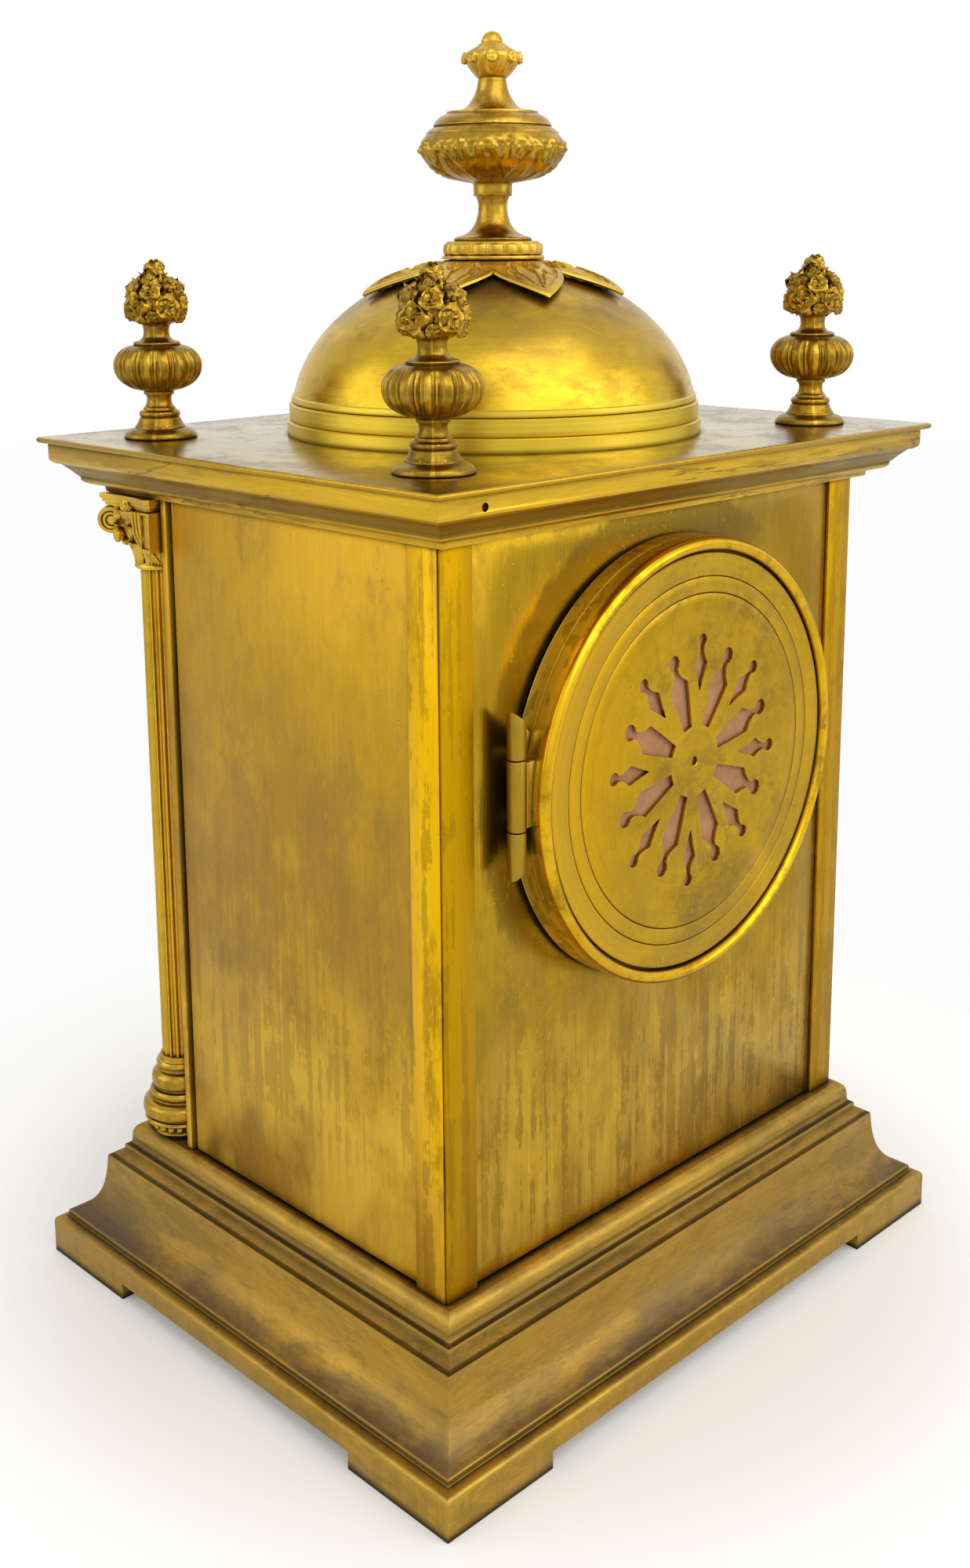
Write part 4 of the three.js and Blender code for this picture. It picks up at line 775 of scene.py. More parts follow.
@dataclass(frozen=True)
class Brass:
    """One finish of gilt or lacquered brass.

    Shades are hex. Shares run from 0 to 1, sizes of patterns are per metre.
    """

    name: str
    slot: str
    light: str
    dark: str
    stain: str
    dirt_and_shade: str = "3a2a0c"
    grain: Grain = Grain.SHEET
    rough: float = 0.4
    metal: float = 1.0
    flow: Spot = (1, 1, 1)
    patch_scale: float = 30.0
    patch_level: float = 0.52
    patch_edge: float = 0.14
    stain_share: float = 0.35
    stain_level: float = 0.56
    outline_share: float = 0.0
    hair_share: float = 0.3
    grain_depth: float = 0.05
    # The dirt fields darken hollows found by ambient occlusion: real dirt, and painted shade.
    dirt_and_shade_share: float = 0.75
    dirt_and_shade_reach: float = 0.0025
    dirt_and_shade_bite: float = 0.45
    ridge: str = "e4b93c"
    ridge_share: float = 0.25
    speck_share: float = 0.6
    wave: float = 0.0
    scratch_share: float = 0.0
    veils: tuple[Veil, ...] = ()

    def make(self, effects: Effects) -> Material:
        """Builds the shader.

        Args:
            effects: the shared node groups.

        Returns:
            The finished material.
        """
        material, board, shader = start_material(self.name)
        place = board.add("ShaderNodeTexCoord").outputs["Object"]
        shader.inputs["Metallic"].default_value = self.metal

        flow = board.stretch(place, self.flow)
        patch = board.group(
            effects.patches, Vector=flow, Scale=self.patch_scale, Level=self.patch_level, Edge=self.patch_edge
        )
        stain = board.group(
            effects.patches, Vector=board.stretch(flow, (1, 1, 1), (3.1, 1.7, 0.4)),
            Scale=self.patch_scale * 2.1, Edge=0.06, Level=self.stain_level,
        )
        hollow = board.group(effects.recess, Reach=self.dirt_and_shade_reach, Bite=self.dirt_and_shade_bite)
        specks = board.group(effects.pits, Vector=place)
        marks = self._marks(board, effects, place)

        colour = board.blend(patch.outputs["Mask"], paint(self.light), paint(self.dark))
        dull = board.times(stain.outputs["Mask"], self.stain_share)
        colour = board.blend(dull, colour, paint(self.stain))
        colour, dull = self._veiled(board, effects, place, colour, dull)
        if self.outline_share:
            outline = board.times(patch.outputs["Outline"], self.outline_share)
            colour = board.blend(outline, colour, paint(self.dirt_and_shade))
        colour = board.blend(board.times(specks.outputs[0], self.speck_share), colour, paint(self.dirt_and_shade))
        if self.scratch_share:
            scratches = board.group(effects.scratches, Vector=place).outputs[0]
            colour = board.blend(board.times(scratches, self.scratch_share), colour, paint(self.ridge))
        ridge = board.times(hollow.outputs["Ridge"], self.ridge_share)
        colour = board.blend(ridge, colour, paint(self.ridge))
        # Hollows darken towards the dirt colour: real dirt, and painted shade where ambient occlusion finds
        # the surface closed in.
        dirt_and_shade = board.times(hollow.outputs["Dirt"], self.dirt_and_shade_share)
        colour = board.blend(dirt_and_shade, colour, paint(self.dirt_and_shade))
        tone = board.plus(1 - self.hair_share / 2, board.times(marks, self.hair_share))
        board.feed(shader.inputs["Base Color"], board.blend(1.0, colour, tone, "MULTIPLY"))

        rough = board.plus(self.rough, board.times(dull, 0.14))
        rough = board.plus(rough, board.times(dirt_and_shade, 0.3))
        rough = board.plus(rough, board.times(board.less(marks, 0.5), 0.12), clamp=True)
        board.feed(shader.inputs["Roughness"], rough)

        relief = board.less(marks, board.times(specks.outputs[0], 1.5))
        normal = board.relief(relief, self.grain_depth)
        if self.wave:
            normal = board.relief(board.noise(place, 14.0, 2, 0.4), self.wave, normal)
        board.feed(shader.inputs["Normal"], normal)
        return material

    def _veiled(
        self, board: Board, effects: Effects, place: Socket, colour: Link, dull: Link
    ) -> tuple[Link, Link]:
        """Lays the veils over the colour.

        Args:
            board: the material's board.
            effects: the shared node groups.
            place: the object coordinates.
            colour: the colour so far.
            dull: how dull the surface is so far.

        Returns:
            The colour and the dullness with the veils.
        """
        for index, veil in enumerate(self.veils):
            spot = board.split(place)[veil.axis]
            moved = board.stretch(place, (1, 1, 1), (0.37 * index, 0.21 * index, 0.13))
            if veil.cover is Cover.PLAIN:
                texture = 1.0
            elif veil.cover is Cover.RUNS:
                texture = board.group(effects.streaks, Vector=moved, Width=380.0).outputs["Runs"]
            # Painted shade of the drum: a frayed ring round the door, on the hinge's side.
            elif veil.cover is Cover.HALO:
                frayed = board.noise(board.stretch(place, (1, 1, 0.2)), 260.0, 4, 0.65)
                spot = board.plus(self._round(board, place, True)[0], board.times(frayed, 0.008))
                x, _, z = board.split(place)
                texture = board.spread(board.plus(x, z), 0.165, 0.195)
            else:
                texture = board.noise(board.stretch(moved, self.flow), 45.0, 5, 0.62, 0.5)
                texture = board.spread(texture, 0.34, 0.6)
            low = board.spread(spot, *veil.rise)
            high = board.spread(spot, *veil.fall, 1.0, 0.0)
            mask = board.times(board.times(low, high), board.times(texture, veil.share))
            colour = board.blend(mask, colour, paint(veil.shade))
            dull = board.calc("MAXIMUM", dull, mask)
        return colour, dull

    def _marks(self, board: Board, effects: Effects, place: Socket) -> Socket:
        """Gives the fine marks of the way the metal was worked, from 0 to 1."""
        if self.grain is Grain.SHEET:
            return board.group(effects.streaks, Vector=place).outputs["Lines"]
        if self.grain is Grain.CAST:
            return board.noise(place, 2600.0, 3, 0.7)
        if self.grain is Grain.RUN:
            along = board.stretch(place, (0.05, 0.05, 1))
            return board.noise(along, 1700.0, 3, 0.6)
        radius, along = self._round(board, place, self.grain is Grain.DOOR)
        return board.group(effects.turning, Radius=radius, Place=along).outputs[0]

    @staticmethod
    def _round(board: Board, place: Socket, door: bool) -> tuple[Socket, ...]:
        """Gives the distance from the door's middle line, or from the dome's, and the place along it."""
        centre = (0, 0, -DOOR_HEIGHT * MM) if door else (0, 0, 0)
        x, y, z = board.split(board.stretch(place, (1, 1, 1), centre))
        side, along = (z, y) if door else (y, z)
        square = board.plus(board.times(x, x), board.times(side, side))
        return board.calc("SQRT", square), along


@dataclass(frozen=True)
class Plain:
    """A finish that isn't brass: steel, bell metal, enamel, glass, ink or cloth."""

    name: str
    slot: str
    light: str
    dark: str
    rough: float
    metal: float = 0.0
    scale: float = 180.0
    depth: float = 0.02
    clear: float = 0.0
    coat: float = 0.0
    weave: bool = False

    def make(self, effects: Effects) -> Material:
        """Builds the shader.

        Args:
            effects: the shared node groups.

        Returns:
            The finished material.
        """
        material, board, shader = start_material(self.name)
        place = board.add("ShaderNodeTexCoord").outputs["Object"]
        plain = {"Metallic": self.metal, "Transmission Weight": self.clear, "Coat Weight": self.coat}
        for key, value in plain.items():
            shader.inputs[key].default_value = value
        patch = board.group(effects.patches, Vector=place, Scale=self.scale, Edge=0.16)
        colour = board.blend(patch.outputs[0], paint(self.light), paint(self.dark))
        height = board.noise(place, self.scale * 9, 3, 0.6)
        if self.weave:
            x, _, z = board.split(place)
            warp = board.calc("SINE", board.times(x, 9500.0))
            weft = board.calc("SINE", board.times(z, 8200.0))
            height = board.times(board.plus(board.times(warp, weft), 1.0), 0.5)
            colour = board.blend(board.times(height, 0.35), colour, paint(self.dark), "MULTIPLY")
        board.feed(shader.inputs["Base Color"], colour)
        rough = board.plus(self.rough, board.times(patch.outputs[0], 0.1), clamp=True)
        board.feed(shader.inputs["Roughness"], rough)
        board.feed(shader.inputs["Normal"], board.relief(height, self.depth))
        return material


class Finish(Enum):
    """Every finish on the clock."""

    SIDE = Brass(
        "side sheet brass", "gilt_sheet", "cb9d26", "b18420", "8a6838", flow=(1, 1, 0.6), patch_scale=27,
        stain_share=0.5, stain_level=0.54, wave=0.3, rough=0.33, hair_share=0.4, scratch_share=0.3,
        veils=(
            # Painted light: the sheet is lighter towards its top, where the light falls on it.
            Veil("d3a42c", 0.8, (0.15, 0.215)),
            Veil("83603e", 0.55, (0.08, 0.11), (0.15, 0.19)),
            Veil("f4ca48", 0.9, fall=(0.07, 0.12)),
            Veil("7c5a26", 0.4, (0.05, 0.075), (0.09, 0.17), Cover.RUNS),
        ),
    )
    BACK = Brass(
        "back sheet brass", "olive_brass", "b48c10", "9c760c", "765a1c", flow=(1, 1, 0.5), patch_scale=26,
        stain_share=0.55, stain_level=0.54, wave=0.25, rough=0.22, hair_share=0.5, dirt_and_shade="4c3a0c",
        dirt_and_shade_reach=0.004, dirt_and_shade_bite=0.3, dirt_and_shade_share=0.8, scratch_share=0.4,
        veils=(
            Veil("dcb238", 0.85, fall=(0.085, 0.115)),
            Veil("7c5c1a", 0.7, fall=(0.075, 0.12), cover=Cover.RUNS),
            Veil("e6c048", 0.6, (0.04, 0.05), (0.065, 0.105), Cover.RUNS),
            Veil("7a5f24", 0.35, (-0.5, -0.4), (0.1, 0.16)),
            # Painted shade: the drum's shadow and reflection on the back sheet round the door.
            Veil("4a3a0e", 0.88, fall=(0.0695, 0.0725), cover=Cover.HALO),
        ),
    )
    STRIP = Brass(
        "drawn corner brass", "gilt_sheet", "ffca0c", "e0ae0c", "8c6a18", flow=(1, 1, 0.3), patch_scale=34,
        patch_level=0.56, stain_share=0.7, stain_level=0.57, rough=0.29, wave=0.1, hair_share=0.5,
        ridge="ffc008", dirt_and_shade="4a2f10", dirt_and_shade_share=0.95, dirt_and_shade_reach=0.002, speck_share=0.9,
        veils=(
            Veil("b08a2e", 0.85, (0.185, 0.215)), Veil("a88a3c", 0.8, fall=(0.045, 0.085)),
            # Painted shade: the leg that faces the back is darker than the side leg.
            Veil("a27e02", 0.88, (0.0618, 0.0621), cover=Cover.PLAIN, axis=1),
            Veil("624c10", 0.5, cover=Cover.RUNS),
        ),
    )
    CORNICE = Brass(
        "cornice brass", "gilt_sheet", "f8c832", "d0a72e", "7c6122", grain=Grain.RUN,
        flow=(0.16, 0.16, 1.5), patch_scale=32, stain_share=0.6, stain_level=0.54, rough=0.28,
        dirt_and_shade_share=0.95, dirt_and_shade_reach=0.003, outline_share=0.75, wave=0.1,
        # Painted shade: the cove under the fascia is darker.
        veils=(Veil("66561e", 0.8, (0.2276, 0.2282), (0.2314, 0.2326), Cover.PLAIN),),
    )
    PLINTH = Brass(
        "plinth brass", "olive_brass", "b08833", "8d6a2e", "634c2e", grain=Grain.RUN,
        flow=(0.45, 0.45, 1.4), patch_scale=34, stain_share=0.6, stain_level=0.53, rough=0.4, metal=0.92,
        dirt_and_shade="241a0c", dirt_and_shade_share=1.0, dirt_and_shade_reach=0.003, dirt_and_shade_bite=0.55, outline_share=0.25,
        hair_share=0.45, ridge_share=0.4, ridge="ddb54c",
        veils=(
            Veil("594c42", 0.85, (0.0115, 0.0125), (0.0145, 0.028)),
            Veil("5e4a2c", 0.75, (0.03, 0.0335), (0.035, 0.0375)),
            Veil("5a4520", 0.35, (0.001, 0.002), (0.008, 0.0105), Cover.RUNS),
            Veil("382a12", 0.8, (0.03005, 0.03025), (0.0308, 0.0311), Cover.PLAIN),
            Veil("382a12", 0.8, (0.0336, 0.0338), (0.0344, 0.0347), Cover.PLAIN),
            Veil("382a12", 0.7, (0.0111, 0.0113), (0.0116, 0.0118), Cover.PLAIN),
        ),
    )
    TOP = Brass(
        "top plate brass", "olive_brass", "bfa954", "9b8540", "6b5a2c", patch_scale=26, stain_share=0.65,
        stain_level=0.52, rough=0.15, grain_depth=0.03, wave=0.14, outline_share=0.35, scratch_share=0.3,
        veils=(Veil("b68c1a", 1.0, fall=(0.239, 0.2392), cover=Cover.PLAIN),),
    )
    DOME = Brass(
        "spun dome brass", "polished_brass", "e8c030", "c69f2a", "8a6a2c", grain=Grain.DOME,
        flow=(1, 1, 2.2), patch_scale=20, stain_share=0.4, stain_level=0.56, rough=0.27, grain_depth=0.03,
        dirt_and_shade_share=0.7, hair_share=0.25, scratch_share=0.25,
        veils=(
            # The upper dome is darker: mauve-brown tarnish, and a painted reflection of a dark ceiling.
            Veil("866a45", 0.95, (0.262, 0.281)), Veil("9a7a3c", 0.4, (0.252, 0.266)),
            Veil("f6dc50", 0.7, fall=(0.2494, 0.2502), cover=Cover.PLAIN),
        ),
    )
    CAST = Brass(
        "cast gilt brass", "cast_brass", "eec546", "c09838", "82642a", grain=Grain.CAST, patch_scale=90,
        metal=0.92, stain_share=0.45, rough=0.32, dirt_and_shade="5a4014", dirt_and_shade_share=0.75, dirt_and_shade_reach=0.0016,
        dirt_and_shade_bite=0.4, ridge_share=0.6, grain_depth=0.05,
    )
    TURNED = Brass(
        "turned finial brass", "cast_brass", "c9a038", "9c7828", "6b4e1d", grain=Grain.CAST, patch_scale=70,
        stain_share=0.45, rough=0.24, dirt_and_shade="46320e", dirt_and_shade_share=0.85, dirt_and_shade_reach=0.002, ridge_share=0.4,
        grain_depth=0.02,
    )
    FLOWER = Brass(
        "flower finial brass", "cast_brass", "ac862a", "82621d", "5a4217", grain=Grain.CAST, patch_scale=80,
        stain_share=0.5, rough=0.28, dirt_and_shade="3a280c", dirt_and_shade_share=0.9, dirt_and_shade_reach=0.0022, ridge_share=0.5,
        grain_depth=0.03,
    )
    SHAFT = Brass(
        "fluted shaft brass", "gilt_sheet", "e0b42c", "b88e24", "7a5c1a", patch_scale=40, stain_share=0.4,
        rough=0.17, dirt_and_shade_share=0.8, dirt_and_shade_reach=0.0014, ridge_share=0.5,
    )
    RIM = Brass(
        "door rim brass", "gilt_sheet", "f4c022", "c89c12", "785e16", grain=Grain.DOOR, patch_scale=28,
        stain_share=0.6, rough=0.2, dirt_and_shade="3a2c0c", dirt_and_shade_share=0.85, dirt_and_shade_reach=0.002, ridge_share=0.4,
        veils=(
            # Painted light: the drum's side is painted paler, in place of the reflection it shows.
            Veil("f2d458", 0.9, (0.0605, 0.061), (0.0702, 0.0708), Cover.PLAIN, 1),
            Veil("6e5412", 0.38, (0.0605, 0.061), (0.0702, 0.0708), Cover.RUNS, 1),
            Veil("6c5014", 0.9, (0.0576, 0.0581), cover=Cover.PLAIN, axis=0),
        ),
    )
    DISC = Brass(
        "door disc brass", "olive_brass", "d0a41c", "b08a18", "84692a", grain=Grain.DOOR, patch_scale=26,
        stain_share=0.5, stain_level=0.55, rough=0.3, dirt_and_shade="4a2c18", dirt_and_shade_share=0.95, dirt_and_shade_reach=0.0016,
        grain_depth=0.05, wave=0.25, scratch_share=0.45,
        veils=(
            Veil("8a7236", 0.5, fall=(0.12, 0.17)),
            # Painted light: the disc is lighter on its hinge's side.
            Veil("dcaa06", 0.75, (0.008, 0.045), cover=Cover.PLAIN, axis=0),
        ),
    )
    INNER = Brass(
        "movement brass", "movement_brass", "d8b566", "c39c4c", "a07c38", grain=Grain.DOOR, patch_scale=50,
        stain_share=0.25, rough=0.3, dirt_and_shade_share=0.6,
    )
    STEEL = Plain("bright steel", "steel", "a6a8ac", "83868b", 0.28, metal=1.0)
    BLUED = Plain("blued steel", "blued_steel", "1c2544", "141a30", 0.25, metal=1.0)
    BELL = Plain("silvered bell metal", "bell_metal", "b9b8ad", "9c998c", 0.3, metal=1.0, scale=60)
    ENAMEL = Plain("white enamel", "enamel", "f3eee2", "e9e2d2", 0.12, coat=0.6, scale=40, depth=0.01)
    INK = Plain("black enamel", "enamel", "17171a", "222228", 0.3)
    GLASS = Plain("clear glass", "glass", "ffffff", "f8fcfb", 0.02, clear=1.0, depth=0.002)
    CLOTH = Plain("faded silk", "cloth", "c99468", "b07f55", 0.85, scale=110, depth=0.08, weave=True)


class FinishShop:
    """Makes each finish once and puts it on pieces."""

    def __init__(self) -> None:
        """Builds the shared effects."""
        self.effects = Effects()
        self.made: dict[Finish, Material] = {}

    def of(self, finish: Finish) -> Material:
        """Gives the material of a finish."""
        if finish not in self.made:
            self.made[finish] = finish.value.make(self.effects)
        return self.made[finish]

    def dress_node(self, node: Piece, finish: Finish) -> None:
        """Gives a node or a piece its material."""
        node.data.materials.clear()
        node.data.materials.append(self.of(finish))

    def dress(
        self, piece: Piece, finish: Finish, *stands_for: str, body: str = "case", smooth: float = 32
    ) -> None:
        """Gives a finished piece its material, its shading and its body.

        Args:
            piece: the finished object.
            finish: what it is made of.
            stands_for: the nodes that it replaces.
            body: the body that it rides on.
            smooth: edges sharper than this many degrees stay crisp.
        """
        self.dress_node(piece, finish)
        take(piece)
        bpy.ops.object.shade_smooth_by_angle(angle=math.radians(smooth))
        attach(piece, body)
        if stands_for:
            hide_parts(*stands_for)
        LOG.info("%s: %s on %s, %d faces", piece.name, finish.value.name, body, len(piece.data.polygons))


@dataclass
class Plinth:
    """The stepped hollow base on its four bracket feet."""

    half_width: float = 100
    half_depth: float = 83.5
    height: float = 40.5
    reach: float = 19.2
    wall: float = 5
    hollow: float = 34
    foot: float = 35
    apron: float = 4.7
    edge: float = 0.45
    profile: str = (
        "0,0 0,0.235! 0.03,0.262 0.135,0.277! 0.161,0.285 0.161,0.319! 0.25,0.337 0.36,0.372 0.47,0.43 "
        "0.54,0.5 0.585,0.6 0.605,0.69 0.615,0.751! 0.66,0.757 0.802,0.8! 0.802,0.835! 0.86,0.848 "
        "0.885,0.875 0.885,0.901! 0.9,0.945 0.935,0.975 1,1"
    )

    def build(self, shop: FinishShop) -> None:
        """Models the moulding, hollows it from below and cuts the feet free."""
        outline = [(inset * self.reach, rise * self.height) for inset, rise in trace(self.profile, 4)]
        body = moulding("plinth_moulding", self.half_width, self.half_depth, outline)
        with editing(body, False):
            low = self.edge * MM
            pick(body, "FACE", lambda face: face.normal.z < -0.9 and face.calc_center_median().z < low)
            bpy.ops.mesh.inset(thickness=self.wall * MM)
            pull((0, 0, self.hollow * MM))
            inner = (self.half_width - self.reach - self.wall) / (self.half_width - self.wall)
            inner_y = (self.half_depth - self.reach - self.wall) / (self.half_depth - self.wall)
            bpy.ops.transform.resize(value=(inner, inner_y, 1), center_override=(0, 0, self.hollow * MM))
        over = self.half_width + self.foot
        gap_x, gap_y = self.half_width - self.foot, self.half_depth - self.foot
        across = slab("apron cut across", (-over, -gap_y, -self.foot), (over, gap_y, self.apron))
        along = slab("apron cut along", (-gap_x, -over, -self.foot), (gap_x, over, self.apron))
        cut(body, across, along)
        soften(body, self.edge, 2, 24)
        shop.dress(body, Finish.PLINTH, "plinth")


@dataclass
class CaseWalls:
    """The front plate, the side and back sheets and the two rear corner strips."""

    half_width: float = 79.8
    back: float = 62.3
    front: float = -43.4
    front_thick: float = 2.3
    low: float = 40.5
    high: float = 224.7
    inset: float = 0.8
    sheet: float = 1.6
    strip: float = 10.5
    strip_thick: float = 3
    gap: float = 1.6
    fit: float = 0.3
    opening: float = 50.5
    edge: float = 0.35

    def build(self, shop: FinishShop) -> None:
        """Models each wall and rounds its edges."""
        plate = slab(
            "front_wall", (-self.half_width, self.front, self.low + self.fit / 3),
            (self.half_width, self.front + self.front_thick, self.high - self.fit / 3),
        )
        cut(plate, self._hole("front opening", self.front))
        soften(plate, self.edge)
        shop.dress(plate, Finish.SIDE, "front_plate")

        leg = self.back - self.strip
        for side, sign in (("left", -1), ("right", 1)):
            skin = self.half_width - self.inset
            near, far = sorted((sign * (skin - self.sheet), sign * skin))
            start = (near, self.front + self.front_thick + self.gap, self.low + self.inset)
            panel = slab(f"side_sheet_{side}", start, (far, leg - self.fit, self.high - self.fit))
            soften(panel, self.edge * 0.6)
            shop.dress(panel, Finish.SIDE, f"side_panel_{side}")
            self._strip(shop, side, sign, leg)

        wide = self.half_width - self.strip - self.fit
        outer = self.back - self.inset
        start = (-wide, outer - self.sheet, self.low + self.inset)
        sheet = slab("back_sheet", start, (wide, outer, self.high - self.fit))
        cut(sheet, self._hole("back opening", outer - self.sheet))
        soften(sheet, self.edge * 0.6)
        shop.dress(sheet, Finish.BACK, "back_panel")

    def _hole(self, name: str, start: float) -> Piece:
        """Gives the round cutter of an opening."""
        reach = 2 * self.strip
        profile = [(0, -reach), (self.opening, -reach), (self.opening, reach), (0, reach)]
        return turned(name, profile, 96, (0, start, DOOR_HEIGHT), Axis.BACK)

    def _strip(self, shop: FinishShop, side: str, sign: int, leg: float) -> None:
        """Models one corner strip: two legs that meet at a fine seam on the corner."""
        x, y, seam = self.half_width, self.back, 0.5
        inner_x, inner_y = x - self.strip_thick, y - self.strip_thick
        outline = [
            (x, leg), (x, y - seam), (x - seam, y - seam * 1.4), (x - seam, y), (x - self.strip, y),
            (x - self.strip, inner_y), (inner_x, inner_y), (inner_x, leg),
        ]
        strip = prism(f"corner_strip_{side}", [(sign * px, py) for px, py in outline], self.low, self.high)
        soften(strip, self.edge * 0.5)
        shop.dress(strip, Finish.STRIP, f"rear_corner_strip_{side}")


@dataclass
class Cornice:
    """The moulding under the top and the thin plate that covers it."""

    half_width: float = 92.3
    half_depth: float = 76.1
    low: float = 224.7
    height: float = 13
    reach: float = 10.6
    wall: float = 3.6
    plate_half_width: float = 94.5
    plate_half_depth: float = 78.3
    plate: float = 1.6
    soffit: float = 3
    well: tuple[float, float, float] = (70, -38, 56)
    edge: float = 0.3
    profile: str = (
        "1,0! 0.985,0.12! 0.79,0.145! 0.73,0.15 0.62,0.185 0.557,0.235! 0.55,0.29 0.47,0.36 0.36,0.455 "
        "0.22,0.56! 0.12,0.58 0.03,0.63 0,0.68! 0,1"
    )

    def build(self, shop: FinishShop) -> None:
        """Models the moulding with its well, and the plate with its chamfered edge."""
        line = trace(self.profile, 4)
        outline = [(inset * self.reach, self.low + rise * self.height) for inset, rise in line]
        body = moulding("cornice_moulding", self.half_width, self.half_depth, outline)
        inner_x = self.half_width - self.reach - self.wall
        inner_y = self.half_depth - self.reach - self.wall
        top = self.low + self.height
        half, front, back = self.well
        start = (-inner_x, -inner_y, self.low + self.soffit)
        hollow = slab("cornice hollow", start, (inner_x, inner_y, top + self.wall))
        well = slab("cornice well", (-half, front, self.low - self.wall), (half, back, top))
        cut(body, hollow, well, self._nick())
        soften(body, self.edge, 2, 24)
        shop.dress(body, Finish.CORNICE, "cornice")

        chamfer = 0.5
        high = top + self.plate
        rim = [(chamfer, top), (0, top + chamfer), (0, high - chamfer * 0.7), (chamfer, high)]
        plate = moulding("top_sheet", self.plate_half_width, self.plate_half_depth, rim)
        soften(plate, 0.25, 2, 24)
        shop.dress(plate, Finish.TOP, "top_plate")

    def _nick(self) -> Piece:
        """Gives the cutter of the small casting hole in the back of the moulding."""
        spot = (self.half_width - 13.5, self.half_depth - 0.4, self.low + self.height - 2.9)
        return ball("casting hole", 1.1, spot, 10, 6)


